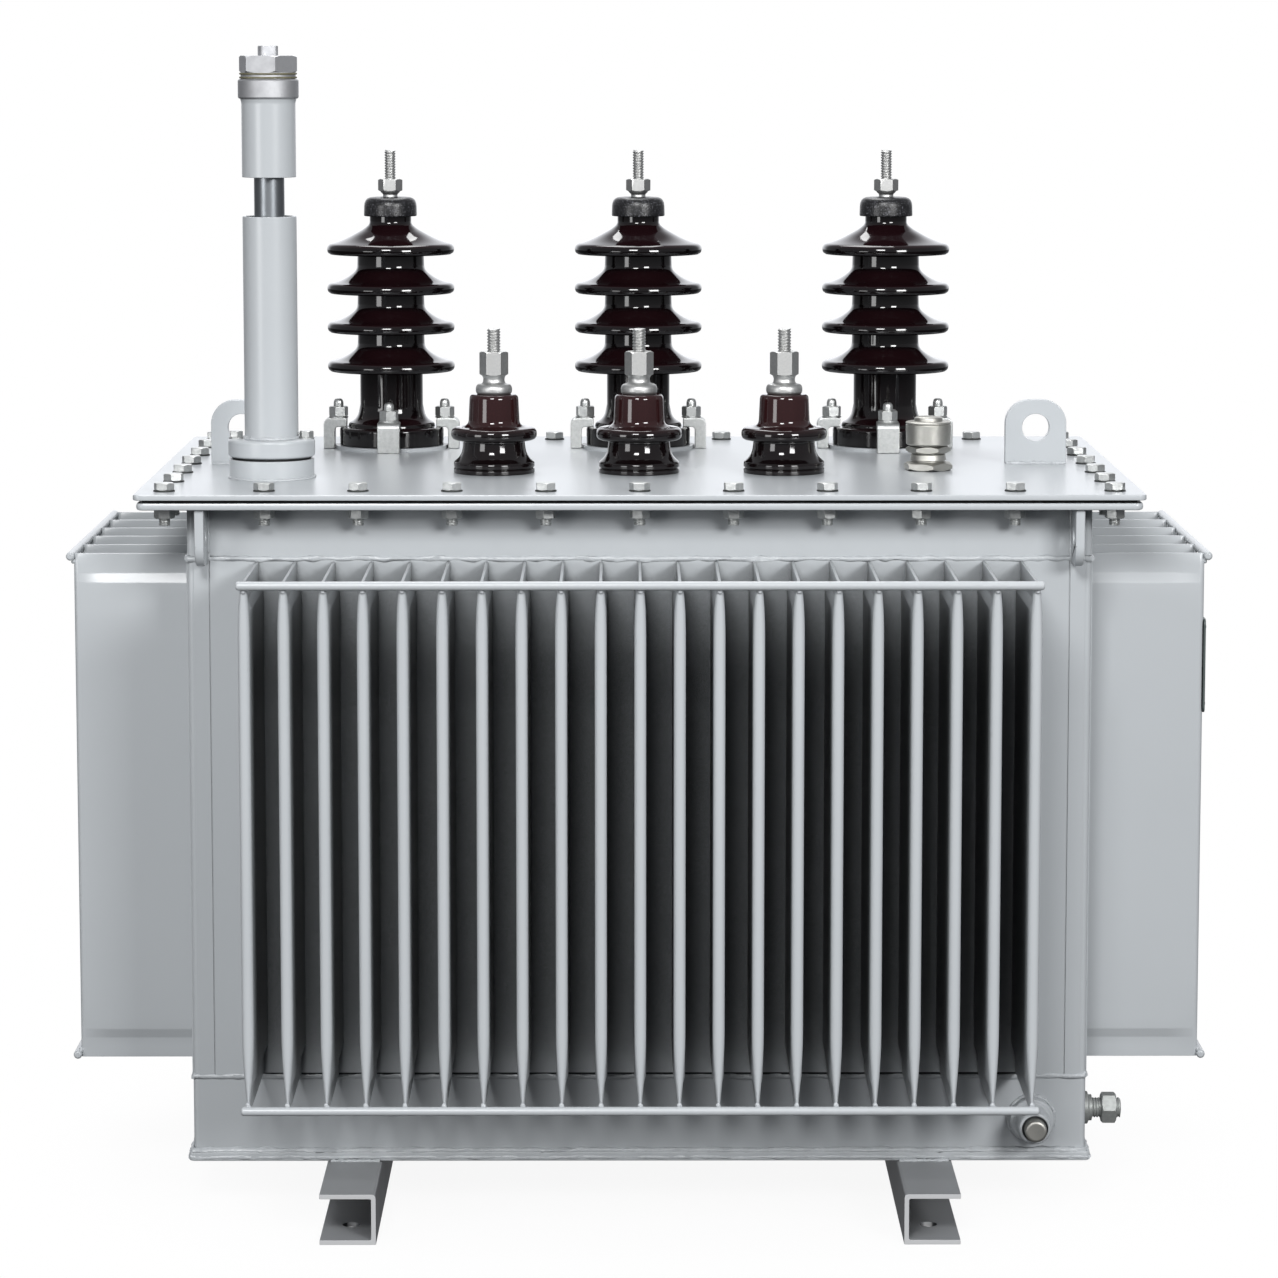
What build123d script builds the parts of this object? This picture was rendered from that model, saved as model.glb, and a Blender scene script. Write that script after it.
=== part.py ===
from build123d import *
import math
import os

# Three-phase oil-filled power transformer with a corrugated tank.
# Millimetres, +Z up, front towards -Y, origin on the ground under the middle of the tank.

# Feet: two bent channels that run front to back, webs towards the middle
foot_gauge = 600
foot_overhang = 141
foot_width = 58
foot_height = 53
foot_sheet = 5
foot_bend = 8
foot_hole = 18
foot_hole_inset = 61

# Tank, its floor plate, its rim and the lid
tank_length = 941
tank_depth = 550
tank_wall_height = 685.5
tank_corner = 6
base_plate_thickness = 10
base_plate_overhang = 5
flange_thickness = 8
flange_inset = 3
gasket_thickness = 2.5
gasket_inset = 9
lid_end_overhang = 49.5
lid_side_overhang = 58
lid_thickness = 6
lid_corner = 8

# Cooling fins, pinched flat at both ends, with round bars across their noses
fin_thickness = 12
fin_nose = 4.5
fin_lip_thickness = 3
fin_lip_height = 20
fin_slope_height = 12
fin_nose_length = 32
fin_nose_lip_height = 6
fin_nose_taper_height = 75
fin_bottom_gap = 85
fin_top_gap = 58.5
front_fin_pitch = 39.7
front_fin_depth = 181
front_fin_margin = 65
side_fin_pitch = 80.8
side_fin_depth = 126
side_fin_margin = 65
rod_diameter = 9
rod_bite = 1
rod_drop = 3
rod_overrun = 7

# Lifting eyes on the lid and lugs under the flange
eye_inset = 84
eye_back = 9
eye_width = 67
eye_height = 70
eye_thickness = 12
eye_corner = 26
eye_hole = 30
eye_hole_height = 39.5
lug_inset = 17.5
lug_thickness = 10
lug_reach = 48
lug_height = 60.5
lug_hole = 20
lug_nose = 22

# Filler and oil-level pipe, stacked from the lid upwards
filler_end_inset = 129
filler_front_inset = 184.5
filler_boss_diameter = 90
filler_boss_height = 21.5
filler_flange_diameter = 92
filler_flange_height = 20.5
filler_flange_edge = 3
filler_pipe_diameter = 57
filler_pipe_height = 235.5
level_tube_diameter = 32
level_tube_height = 41
filler_sleeve_height = 82.5
filler_collar_diameter = 64
filler_collar_height = 20.5
filler_collar_edge = 1.5
filler_spigot_diameter = 58
filler_spigot_height = 7
filler_cap_flats = 55
filler_cap_height = 17.5
filler_plug_width = 20
filler_plug_corner = 5
filler_plug_height = 10.5

# High-voltage bushings, in the back row
hv_count = 3
hv_spacing = 281
hv_rear_inset = 140.5
hv_seat_diameter = 128
hv_seat_height = 4
hv_foot_inset = 5
hv_foot_height = 20.5
hv_foot_edge = 3
hv_shoulder_diameter = 98
hv_shoulder_height = 4
hv_flare_height = 18.5
hv_core_diameter = 75
hv_stem_height = 46.5
hv_shed_count = 4
hv_shed_pitch = 44.2
hv_shed_diameter = 144
hv_shed_rim = 11
hv_shed_slope = 13.5
hv_shed_hollow = 3
hv_top_cone_height = 22
hv_neck_diameter = 47
hv_neck_height = 10
hv_cap_diameter = 60
hv_cap_height = 21.5
hv_cap_edge = 10
hv_stud_collar_diameter = 16
hv_stud_collar_height = 6.5
hv_stud_spread_diameter = 22
hv_stud_spread_height = 3
hv_nut_flats = 24
hv_nut_height = 14
hv_stud_diameter = 12
hv_stud_height = 32.5
hv_stud_tip = 1.5

# Clamp claws round each high-voltage bushing
claw_count = 4
claw_width = 25
claw_clearance = 0.5
claw_leg = 12.5
claw_reach = 26
claw_bar = 10
claw_shoulder = 7
claw_arch = 4
claw_hole = 12.5
claw_hole_inset = 16.5

# Low-voltage bushings, in the front row
lv_count = 3
lv_spacing = 156
lv_front_inset = 238.5
lv_foot_diameter = 87
lv_foot_height = 13
lv_foot_groove = 1.5
lv_waist_diameter = 66
lv_waist_height = 20
lv_shed_diameter = 92
lv_shed_thickness = 13
lv_shed_gap = 2.5
lv_head_diameter = 53
lv_head_height = 36
lv_head_flare = 5
lv_head_edge = 5
lv_washer_diameter = 39
lv_washer_height = 11
lv_washer_edge = 2.5
lv_neck_diameter = 23
lv_neck_height = 9
lv_nut_flats = 27
lv_nut_height = 26
lv_stud_diameter = 14
lv_stud_height = 24.5
lv_stud_tip = 2

# Relief valve on the lid, from the lid upwards
relief_end_inset = 207
relief_front_inset = 263
relief_flange_flats = 48
relief_flange_height = 8.5
relief_flare_diameter = 45
relief_neck_diameter = 37
relief_neck_height = 9.5
relief_nut_flats = 42
relief_nut_height = 8.5
relief_body_diameter = 50
relief_body_height = 26.5
relief_body_edge = 2.5
relief_crown_diameter = 30
relief_crown_height = 5
relief_crown_edge = 2

# Drain on the front wall and earthing stud on the right wall
drain_inset = 57.5
drain_height = 35
drain_boss_diameter = 47
drain_boss_length = 14
drain_stub_diameter = 36
drain_stub_length = 34
drain_stub_edge = 3
drain_recess_diameter = 28
drain_recess_depth = 3
drain_plug_diameter = 24.5
drain_plug_length = 14
drain_plug_edge = 1.5
earth_inset = 75
earth_height = 28
earth_boss_diameter = 35
earth_boss_length = 14
earth_rod_diameter = 21
earth_rod_length = 24
earth_nut_flats = 30
earth_nut_length = 16
earth_tip_diameter = 17
earth_tip_length = 5

# Levels and places that follow from the sizes above
tank_z = foot_height + base_plate_thickness
flange_z = tank_z + tank_wall_height
gasket_z = flange_z + flange_thickness
lid_z = gasket_z + gasket_thickness
top_z = lid_z + lid_thickness
foot_length = tank_depth + 2 * foot_overhang
lid_length = tank_length + 2 * lid_end_overhang
lid_depth = tank_depth + 2 * lid_side_overhang
fin_z = tank_z + fin_bottom_gap
fin_height = tank_wall_height - fin_bottom_gap - fin_top_gap
rod_radius = rod_diameter / 2
front_fin_count = int((tank_length - 2 * front_fin_margin) / front_fin_pitch) + 1
side_fin_count = int((tank_depth - 2 * side_fin_margin) / side_fin_pitch) + 1
hv_y = lid_depth / 2 - hv_rear_inset
lv_y = -(lid_depth / 2 - lv_front_inset)
hv_foot_diameter = hv_seat_diameter - 2 * hv_foot_inset
hv_neck_z = (
    top_z + hv_seat_height + hv_foot_height + hv_shoulder_height + hv_flare_height + hv_stem_height
    + (hv_shed_count - 1) * hv_shed_pitch + hv_shed_rim / 2 + hv_top_cone_height + hv_neck_height
)
lv_head_z = (
    top_z + lv_foot_height + lv_waist_height + lv_shed_gap + lv_shed_thickness + lv_head_height
)

pieces = {}


def plate(length, depth, corner, thickness, z):
    """A level plate with rounded corners, its underside at height z."""
    return Pos(0, 0, z) * extrude(RectangleRounded(length, depth, corner), thickness)


def disc(diameter, height, x, y, z):
    """A round bar standing at x, y with its lower end at height z."""
    return Pos(x, y, z) * extrude(Circle(diameter / 2), height)


def turned(outline):
    """A solid turned about the Z axis from (radius, height) points."""
    return revolve(Plane.XZ * make_face(Polyline(outline, close=True)), Axis.Z)


def nut(flats, height):
    """A hexagon standing on the origin, with its corners turned off at both ends."""
    inner, corner = flats / 2, flats / math.sqrt(3)
    rise = (corner - inner) * math.tan(math.radians(30))
    outline = [(0, 0), (inner, 0), (corner, rise), (corner, height - rise), (inner, height), (0, height)]
    return extrude(RegularPolygon(inner, 6, major_radius=False), height) & turned(outline)


def row(count, pitch):
    """Places of a row of like pieces, centred on zero."""
    return [(i - (count - 1) / 2) * pitch for i in range(count)]


def make_foot(side):
    """A bent channel with its web towards the middle and a hole near each end."""
    section = Rectangle(foot_width, foot_height)
    section = fillet(section.vertices().group_by(Axis.X)[0], foot_bend)
    hollow = Pos(foot_sheet / 2, 0) * Rectangle(foot_width - foot_sheet, foot_height - 2 * foot_sheet)
    hollow = fillet(hollow.vertices().group_by(Axis.X)[0], foot_bend - foot_sheet)
    bar = extrude(Plane.XZ * (section - hollow), foot_length / 2, both=True)
    hole_y = foot_length / 2 - foot_hole_inset
    for y in (-hole_y, hole_y):
        bar -= disc(foot_hole, 2 * foot_sheet, 0, y, -foot_height / 2)
    if side < 0:
        bar = mirror(bar, Plane.YZ)
    return Pos(side * foot_gauge / 2, 0, foot_height / 2) * bar


def fin_section(on_nose):
    """Upright section of a fin: a flat lip and a short slope at both ends, or a long arc on the nose."""
    lip, half = fin_lip_thickness / 2, fin_thickness / 2
    slope_end = fin_lip_height + fin_slope_height
    taper_end = fin_nose_lip_height + fin_nose_taper_height
    levels = [0, fin_nose_lip_height, fin_lip_height, slope_end, (slope_end + taper_end) / 2, taper_end]
    side = []
    for z in levels:
        swell = 0 if z <= fin_lip_height else 1
        if on_nose:
            share = max(z - fin_nose_lip_height, 0) / fin_nose_taper_height
            swell = math.sin(share * math.pi / 2)
        side.append((lip + (half - lip) * swell, z))
    side += [(x, fin_height - z) for x, z in reversed(side)]
    return make_face(Polyline(side + [(-x, z) for x, z in reversed(side)], close=True))


def make_fin(depth):
    """One fin standing out towards -Y: full in the middle and pinched to a lip at both ends."""
    root = depth - fin_nose_length
    body = extrude(Plane.XZ * fin_section(False), root)
    body += loft([Plane.XZ.offset(root) * fin_section(False), Plane.XZ.offset(depth) * fin_section(True)], ruled=True)
    plan = Pos(0, -depth / 2) * Rectangle(fin_thickness, depth)
    plan = fillet(plan.vertices().group_by(Axis.Y)[0], fin_nose)
    body &= extrude(plan, fin_height)
    return Pos(0, 0, fin_z) * (body - make_rods(depth, 4 * fin_thickness, -fin_z))


def make_rods(depth, length, lift=0):
    """Upper and lower bars, let a little way into the noses of fins of this depth."""
    y = -(depth + rod_radius - rod_bite)
    heights = (fin_z + rod_drop + lift, fin_z + fin_height - rod_drop + lift)
    bar = Rot(0, 90, 0) * Cylinder(rod_radius, length)
    return Compound([Pos(0, y, z) * bar for z in heights])


def fin_bank(name, count, pitch, depth, wall, turn):
    """A row of fins on one wall of the tank, and the two bars across their noses."""
    place = Rot(0, 0, turn) * Pos(0, -wall, 0)
    fin = make_fin(depth)
    pieces[name + "_fins"] = Compound([place * Pos(x, 0, 0) * fin for x in row(count, pitch)])
    length = (count - 1) * pitch + 2 * rod_overrun
    pieces[name + "_fin_rods"] = place * make_rods(depth, length)


def make_eye(side):
    """A plate standing on the lid with two round shoulders and a lifting hole."""
    outline = Pos(0, eye_height / 2) * Rectangle(eye_width, eye_height)
    outline = fillet(outline.vertices().group_by(Axis.Y)[-1], eye_corner)
    outline -= Pos(0, eye_hole_height) * Circle(eye_hole / 2)
    body = extrude(Plane.XZ * outline, eye_thickness / 2, both=True)
    return Pos(side * (lid_length / 2 - eye_inset), eye_back, top_z) * body


def make_lug(side, face):
    """A lug under the flange, welded to the wall, with a rounded lower corner and a hole."""
    outline = Pos(lug_reach / 2, -lug_height / 2) * Rectangle(lug_reach, lug_height)
    low = outline.vertices().group_by(Axis.Y)[0]
    outline = fillet(low.sort_by(Axis.X)[-1], lug_nose)
    outline -= Pos(lug_reach / 2, -lug_height / 2) * Circle(lug_hole / 2)
    body = extrude(Plane.YZ * outline, lug_thickness / 2, both=True)
    if face < 0:
        body = mirror(body, Plane.XZ)
    return Pos(side * (tank_length / 2 - lug_inset), face * tank_depth / 2, flange_z) * body


def make_hv_bushing(x):
    """Porcelain turned about its axis: clamped foot, shoulder, flare, stem, sheds and a conical top."""
    foot, shoulder, core = hv_foot_diameter / 2, hv_shoulder_diameter / 2, hv_core_diameter / 2
    rim, tip = hv_shed_rim / 2, hv_shed_diameter / 2
    shoulder_z = hv_foot_height + hv_shoulder_height
    flare_z = shoulder_z + hv_flare_height
    lines = [
        Line((0, 0), (foot, 0)),
        Line((foot, 0), (foot, hv_foot_height - hv_foot_edge)),
        Line((foot, hv_foot_height - hv_foot_edge), (foot - hv_foot_edge, hv_foot_height)),
        Line((foot - hv_foot_edge, hv_foot_height), (shoulder, hv_foot_height)),
        Line((shoulder, hv_foot_height), (shoulder, shoulder_z)),
        EllipticalCenterArc((shoulder, flare_z), shoulder - core, hv_flare_height, 180, arc_size=90),
    ]
    last = (core, flare_z)
    for i in range(hv_shed_count):
        middle = flare_z + hv_stem_height + i * hv_shed_pitch
        under = (core, middle - rim + hv_shed_hollow)
        low, side, high = (tip - rim, middle - rim), (tip, middle), (tip - rim, middle + rim)
        crown = (core, middle + rim + hv_shed_slope)
        if i == hv_shed_count - 1:
            crown = (hv_neck_diameter / 2, middle + rim + hv_top_cone_height)
        sag = ((high[0] + crown[0]) / 2 - hv_shed_hollow, (high[1] + crown[1]) / 2 - hv_shed_hollow)
        lines += [Line(last, under), Line(under, low), ThreePointArc(low, side, high)]
        lines += [ThreePointArc(high, sag, crown)]
        last = crown
    neck_top = (last[0], last[1] + hv_neck_height)
    lines += [Line(last, neck_top), Line(neck_top, (0, neck_top[1])), Line((0, neck_top[1]), (0, 0))]
    body = revolve(Plane.XZ * make_face(Curve(lines)), Axis.Z)
    return Pos(x, hv_y, top_z + hv_seat_height) * body


def make_hv_cap(x):
    """The moulded rubber cap on the neck of a tall bushing."""
    cap = disc(hv_cap_diameter, hv_cap_height, x, hv_y, hv_neck_z)
    return fillet(cap.edges().group_by(Axis.Z)[-1], hv_cap_edge)


def make_hv_terminal(x):
    """A stud with a spread collar and a nut, on top of the cap."""
    collar, spread, stud = hv_stud_collar_diameter / 2, hv_stud_spread_diameter / 2, hv_stud_diameter / 2
    nut_z = hv_stud_collar_height
    end = nut_z + hv_nut_height + hv_stud_height
    outline = [
        (0, 0), (collar, 0), (collar, nut_z - hv_stud_spread_height), (spread, nut_z), (stud, nut_z),
        (stud, end - hv_stud_tip), (stud - hv_stud_tip, end), (0, end),
    ]
    body = turned(outline) + Pos(0, 0, nut_z) * nut(hv_nut_flats, hv_nut_height)
    return Pos(x, hv_y, hv_neck_z + hv_cap_height) * body


def make_hv_clamps(x):
    """Four bridge claws that press the foot of the porcelain down on its seat."""
    grip_z = hv_seat_height + hv_foot_height
    crown_z = grip_z + claw_bar
    inner = hv_seat_diameter / 2 + claw_clearance
    outer = inner + claw_leg
    grip = outer - claw_reach
    outline = Pos((outer + grip) / 2, crown_z / 2) * Rectangle(claw_reach, crown_z)
    outline = fillet(outline.vertices().group_by(Axis.Y)[-1].sort_by(Axis.X)[-1], claw_shoulder)
    gap = Pos((inner + grip) / 2, grip_z / 2) * Rectangle(inner - grip, grip_z)
    gap = fillet(gap.vertices().group_by(Axis.Y)[-1].sort_by(Axis.X)[-1], claw_arch)
    claw = extrude(Plane.XZ * (outline - gap), claw_width / 2, both=True)
    claw -= disc(claw_hole, crown_z, outer - claw_hole_inset, 0, grip_z - claw_arch)
    turns = [i * 360 / claw_count for i in range(claw_count)]
    return Compound([Pos(x, hv_y, top_z) * Rot(0, 0, turn) * claw for turn in turns])


def make_lv_bushing(x):
    """Short porcelain: grooved foot, waist, one round shed and a plain head."""
    foot, waist = lv_foot_diameter / 2, lv_waist_diameter / 2
    tip, head = lv_shed_diameter / 2, lv_head_diameter / 2
    rim, groove = lv_shed_thickness / 2, lv_foot_groove
    groove_z = lv_foot_height / 2
    waist_z = lv_foot_height + lv_waist_height
    middle = waist_z + lv_shed_gap + rim
    shed_top = middle + rim
    flare_z = shed_top + lv_head_flare
    top = shed_top + lv_head_height
    profile = [
        Line((0, 0), (foot, 0)),
        Line((foot, 0), (foot, groove_z - groove)),
        Line((foot, groove_z - groove), (foot - groove, groove_z)),
        Line((foot - groove, groove_z), (foot, groove_z + groove)),
        Line((foot, groove_z + groove), (foot, lv_foot_height)),
        EllipticalCenterArc((foot, waist_z), foot - waist, lv_waist_height, 180, arc_size=90),
        Line((waist, waist_z), (waist, middle - rim)),
        Line((waist, middle - rim), (tip - rim, middle - rim)),
        ThreePointArc((tip - rim, middle - rim), (tip, middle), (tip - rim, shed_top)),
        EllipticalCenterArc((tip - rim, flare_z), tip - rim - head, lv_head_flare, 180, arc_size=90),
        Line((head, flare_z), (head, top - lv_head_edge)),
        RadiusArc((head, top - lv_head_edge), (head - lv_head_edge, top), -lv_head_edge),
        Line((head - lv_head_edge, top), (0, top)),
        Line((0, top), (0, 0)),
    ]
    body = revolve(Plane.XZ * make_face(Curve(profile)), Axis.Z)
    return Pos(x, lv_y, top_z) * body


def make_lv_terminal(x):
    """Thick washer, neck, long hexagon coupling and threaded stud."""
    washer, neck, stud = lv_washer_diameter / 2, lv_neck_diameter / 2, lv_stud_diameter / 2
    edge = lv_washer_edge
    nut_z = lv_washer_height + lv_neck_height
    end = nut_z + lv_nut_height + lv_stud_height
    outline = [
        (0, 0), (washer - edge, 0), (washer, edge), (washer, lv_washer_height - edge),
        (washer - edge, lv_washer_height), (neck, lv_washer_height), (neck, nut_z), (stud, nut_z),
        (stud, end - lv_stud_tip), (stud - lv_stud_tip, end), (0, end),
    ]
    body = turned(outline) + Pos(0, 0, nut_z) * nut(lv_nut_flats, lv_nut_height)
    return Pos(x, lv_y, lv_head_z) * body


def make_relief_valve():
    """Hexagon flange, flared neck, thin nut and a round spring housing with a crown."""
    flare, neck = relief_flare_diameter / 2, relief_neck_diameter / 2
    housing, crown = relief_body_diameter / 2, relief_crown_diameter / 2
    nut_z = relief_flange_height + relief_neck_height
    body_z = nut_z + relief_nut_height
    body_top = body_z + relief_body_height
    top = body_top + relief_crown_height
    outline = [
        (0, 0), (flare, 0), (flare, relief_flange_height), (neck, nut_z), (neck, body_z), (housing, body_z),
        (housing, body_top - relief_body_edge), (housing - relief_body_edge, body_top), (crown, body_top),
        (crown, top - relief_crown_edge), (crown - relief_crown_edge, top), (0, top),
    ]
    body = turned(outline) + nut(relief_flange_flats, relief_flange_height)
    body += Pos(0, 0, nut_z) * nut(relief_nut_flats, relief_nut_height)
    return Pos(lid_length / 2 - relief_end_inset, relief_front_inset - lid_depth / 2, top_z) * body


def make_filler():
    """Boss, flanged pipe, bare level tube, sleeve, collar and hexagon cap, stacked on one axis."""
    x, y = filler_end_inset - lid_length / 2, filler_front_inset - lid_depth / 2
    z = top_z
    pieces["filler_boss"] = disc(filler_boss_diameter, filler_boss_height, x, y, z)
    z += filler_boss_height
    flange = disc(filler_flange_diameter, filler_flange_height, x, y, z)
    flange = fillet(flange.edges().filter_by(GeomType.CIRCLE), filler_flange_edge)
    z += filler_flange_height
    pieces["filler_pipe"] = flange + disc(filler_pipe_diameter, filler_pipe_height, x, y, z)
    z += filler_pipe_height
    pieces["level_tube"] = disc(level_tube_diameter, level_tube_height, x, y, z)
    z += level_tube_height
    pieces["filler_sleeve"] = disc(filler_pipe_diameter, filler_sleeve_height, x, y, z)
    z += filler_sleeve_height
    collar = disc(filler_collar_diameter, filler_collar_height, x, y, z)
    collar = chamfer(collar.edges().filter_by(GeomType.CIRCLE), filler_collar_edge)
    z += filler_collar_height
    pieces["filler_collar"] = collar + disc(filler_spigot_diameter, filler_spigot_height, x, y, z)
    z += filler_spigot_height
    cap = Pos(x, y, z) * nut(filler_cap_flats, filler_cap_height)
    z += filler_cap_height
    head = extrude(RectangleRounded(filler_plug_width, filler_plug_width, filler_plug_corner), filler_plug_height)
    pieces["filler_cap"] = cap + Pos(x, y, z) * head


def make_drain():
    """A boss with a recessed stub on the front wall near its foot, closed by a plug."""
    x = tank_length / 2 - drain_inset
    place = Pos(x, -tank_depth / 2, tank_z + drain_height) * Rot(90, 0, 0)
    boss, stub, recess = drain_boss_diameter / 2, drain_stub_diameter / 2, drain_recess_diameter / 2
    end = drain_boss_length + drain_stub_length
    floor = end - drain_recess_depth
    outline = [
        (0, 0), (boss, 0), (boss, drain_boss_length), (stub, drain_boss_length), (stub, end - drain_stub_edge),
        (stub - drain_stub_edge, end), (recess, end), (recess, floor), (0, floor),
    ]
    pieces["drain_boss"] = place * turned(outline)
    plug = disc(drain_plug_diameter, drain_recess_depth + drain_plug_length, 0, 0, floor)
    pieces["drain_plug"] = place * chamfer(plug.edges().group_by(Axis.Z)[-1], drain_plug_edge)


def make_earth_stud():
    """A welded boss with a threaded rod and a nut, on the right wall."""
    body = disc(earth_boss_diameter, earth_boss_length, 0, 0, 0)
    body += disc(earth_rod_diameter, earth_rod_length, 0, 0, 0)
    body += Pos(0, 0, earth_rod_length) * nut(earth_nut_flats, earth_nut_length)
    body += disc(earth_tip_diameter, earth_tip_length, 0, 0, earth_rod_length + earth_nut_length)
    place = Pos(tank_length / 2, earth_inset - tank_depth / 2, tank_z + earth_height)
    return place * Rot(0, 90, 0) * body


# Feet and tank
pieces["foot_left"] = make_foot(-1)
pieces["foot_right"] = make_foot(1)
base_length = tank_length + 2 * base_plate_overhang
base_depth = tank_depth + 2 * base_plate_overhang
pieces["base_plate"] = plate(base_length, base_depth, tank_corner, base_plate_thickness, foot_height)
pieces["tank_body"] = plate(tank_length, tank_depth, tank_corner, lid_z - tank_z, tank_z)
mouth = plate(tank_length, tank_depth, tank_corner, lid_z - flange_z, flange_z)
for name, inset, thickness, z in (
    ("top_flange", flange_inset, flange_thickness, flange_z),
    ("lid_gasket", gasket_inset, gasket_thickness, gasket_z),
):
    rim_plate = plate(lid_length - 2 * inset, lid_depth - 2 * inset, lid_corner, thickness, z)
    pieces[name] = rim_plate - mouth
pieces["lid"] = plate(lid_length, lid_depth, lid_corner, lid_thickness, lid_z)

# Fins on all four walls
fin_bank("front", front_fin_count, front_fin_pitch, front_fin_depth, tank_depth / 2, 0)
fin_bank("rear", front_fin_count, front_fin_pitch, front_fin_depth, tank_depth / 2, 180)
fin_bank("left", side_fin_count, side_fin_pitch, side_fin_depth, tank_length / 2, -90)
fin_bank("right", side_fin_count, side_fin_pitch, side_fin_depth, tank_length / 2, 90)

# Lifting eyes and lugs
for side, side_name in ((-1, "left"), (1, "right")):
    pieces["lifting_eye_" + side_name] = make_eye(side)
    for face, face_name in ((-1, "front"), (1, "rear")):
        pieces["lug_" + face_name + "_" + side_name] = make_lug(side, face)

# Fittings on the lid
make_filler()
hv_row = row(hv_count, hv_spacing)
for i, x in enumerate(hv_row, 1):
    pieces["hv_bushing_%d" % i] = make_hv_bushing(x)
    pieces["hv_clamps_%d" % i] = make_hv_clamps(x)
pieces["hv_seats"] = Compound([disc(hv_seat_diameter, hv_seat_height, x, hv_y, top_z) for x in hv_row])
pieces["hv_caps"] = Compound([make_hv_cap(x) for x in hv_row])
pieces["hv_terminals"] = Compound([make_hv_terminal(x) for x in hv_row])
lv_row = row(lv_count, lv_spacing)
for i, x in enumerate(lv_row, 1):
    pieces["lv_bushing_%d" % i] = make_lv_bushing(x)
pieces["lv_terminals"] = Compound([make_lv_terminal(x) for x in lv_row])
pieces["relief_valve"] = make_relief_valve()

# Fittings on the tank walls
make_drain()
pieces["earth_stud"] = make_earth_stud()

os.makedirs("parts", exist_ok=True)
for name, piece in pieces.items():
    export_step(piece, os.path.join("parts", name + ".step"))
print(len(pieces), "pieces written")
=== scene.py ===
# %% [markdown]
# # Dressing a power transformer
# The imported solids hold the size, the place and the structure of every part. This lesson keeps
# them as a fixed frame and gives each one the shape and finish that the eye expects up close:
# rounded edges, glazed porcelain, pressed fins, welds, threads and bolts.

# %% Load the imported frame
import math
import random

import bmesh
import bpy
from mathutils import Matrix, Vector


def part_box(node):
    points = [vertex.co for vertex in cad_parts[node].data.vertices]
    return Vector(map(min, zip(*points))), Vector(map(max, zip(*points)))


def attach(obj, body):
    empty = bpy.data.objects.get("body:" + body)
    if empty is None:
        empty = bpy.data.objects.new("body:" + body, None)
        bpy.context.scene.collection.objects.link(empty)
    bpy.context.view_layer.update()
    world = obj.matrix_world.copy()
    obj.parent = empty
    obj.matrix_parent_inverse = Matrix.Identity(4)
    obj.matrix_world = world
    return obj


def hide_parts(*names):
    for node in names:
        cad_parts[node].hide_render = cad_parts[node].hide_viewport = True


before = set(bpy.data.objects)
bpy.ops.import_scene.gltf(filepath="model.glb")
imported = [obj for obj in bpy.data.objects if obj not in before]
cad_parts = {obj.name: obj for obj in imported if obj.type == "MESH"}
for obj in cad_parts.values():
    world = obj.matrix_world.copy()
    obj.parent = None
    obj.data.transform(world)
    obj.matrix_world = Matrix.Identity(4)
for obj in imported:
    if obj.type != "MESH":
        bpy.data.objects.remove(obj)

MM = 0.001
for leftover in ("Cube", "Light", "Camera"):
    if leftover in bpy.data.objects:
        bpy.data.objects.remove(bpy.data.objects[leftover])
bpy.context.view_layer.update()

# %% [markdown]
# ## Camera
# The photograph was taken a little above the lid with a long lens, almost square to the front.
# A camera can be placed by eye, but here its lens and place were fitted to edges whose sizes are
# known, so that every edge of the model falls where it does in the picture.

# %% Camera
picture_width = 1278
focal_pixels = 4447.8
camera_place = (-0.016, -4.864, 1.236)
camera_pitch = 6.966
camera_yaw = 0.191
picture_shift = -0.05
bpy.ops.object.camera_add(
    location=camera_place,
    rotation=(math.radians(90 - camera_pitch), 0, math.radians(-camera_yaw)),
)
camera = bpy.context.object
camera.name = "front_camera"
camera.data.sensor_width = 36
camera.data.lens = camera.data.sensor_width * focal_pixels / picture_width
camera.data.shift_y = picture_shift
bpy.context.scene.camera = camera
print("lens", round(camera.data.lens, 1), "mm")

# %% [markdown]
# ## Studio
# Glazed and enamelled things are shown by what they reflect. Two softboxes stand left and right of
# the camera, low enough to reach the wall under the lid, and put a pair of lights on every round
# piece. A weak one far to the left fills the left-hand fins, and one above and behind lights the
# lid. The room itself is dim, so that dark porcelain stays dark, but the backdrop is white and
# shows in the lid. Of the floor only a breath of shadow under the feet is wanted, so it is a pale
# disc that fades out.

# %% Colours as sRGB hex values
def linear(code):
    """Linear red, green, blue and alpha of an sRGB hex value such as B0B4B6."""
    shares = [int(code[i:i + 2], 16) / 255 for i in (0, 2, 4)]
    return [s / 12.92 if s <= 0.04045 else ((s + 0.055) / 1.055) ** 2.4 for s in shares] + [1.0]


# %% One function that adds a node
def add(tree, kind, sockets={}, links={}, **settings):
    """Adds a shader node, sets its options and sockets, and links other nodes' outputs to it."""
    node = tree.nodes.new("ShaderNode" + kind)
    for name, value in settings.items():
        setattr(node, name, value)
    for name, value in sockets.items():
        node.inputs[name].default_value = value
    for name, source in links.items():
        tree.links.new(source, node.inputs[name])
    return node


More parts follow.
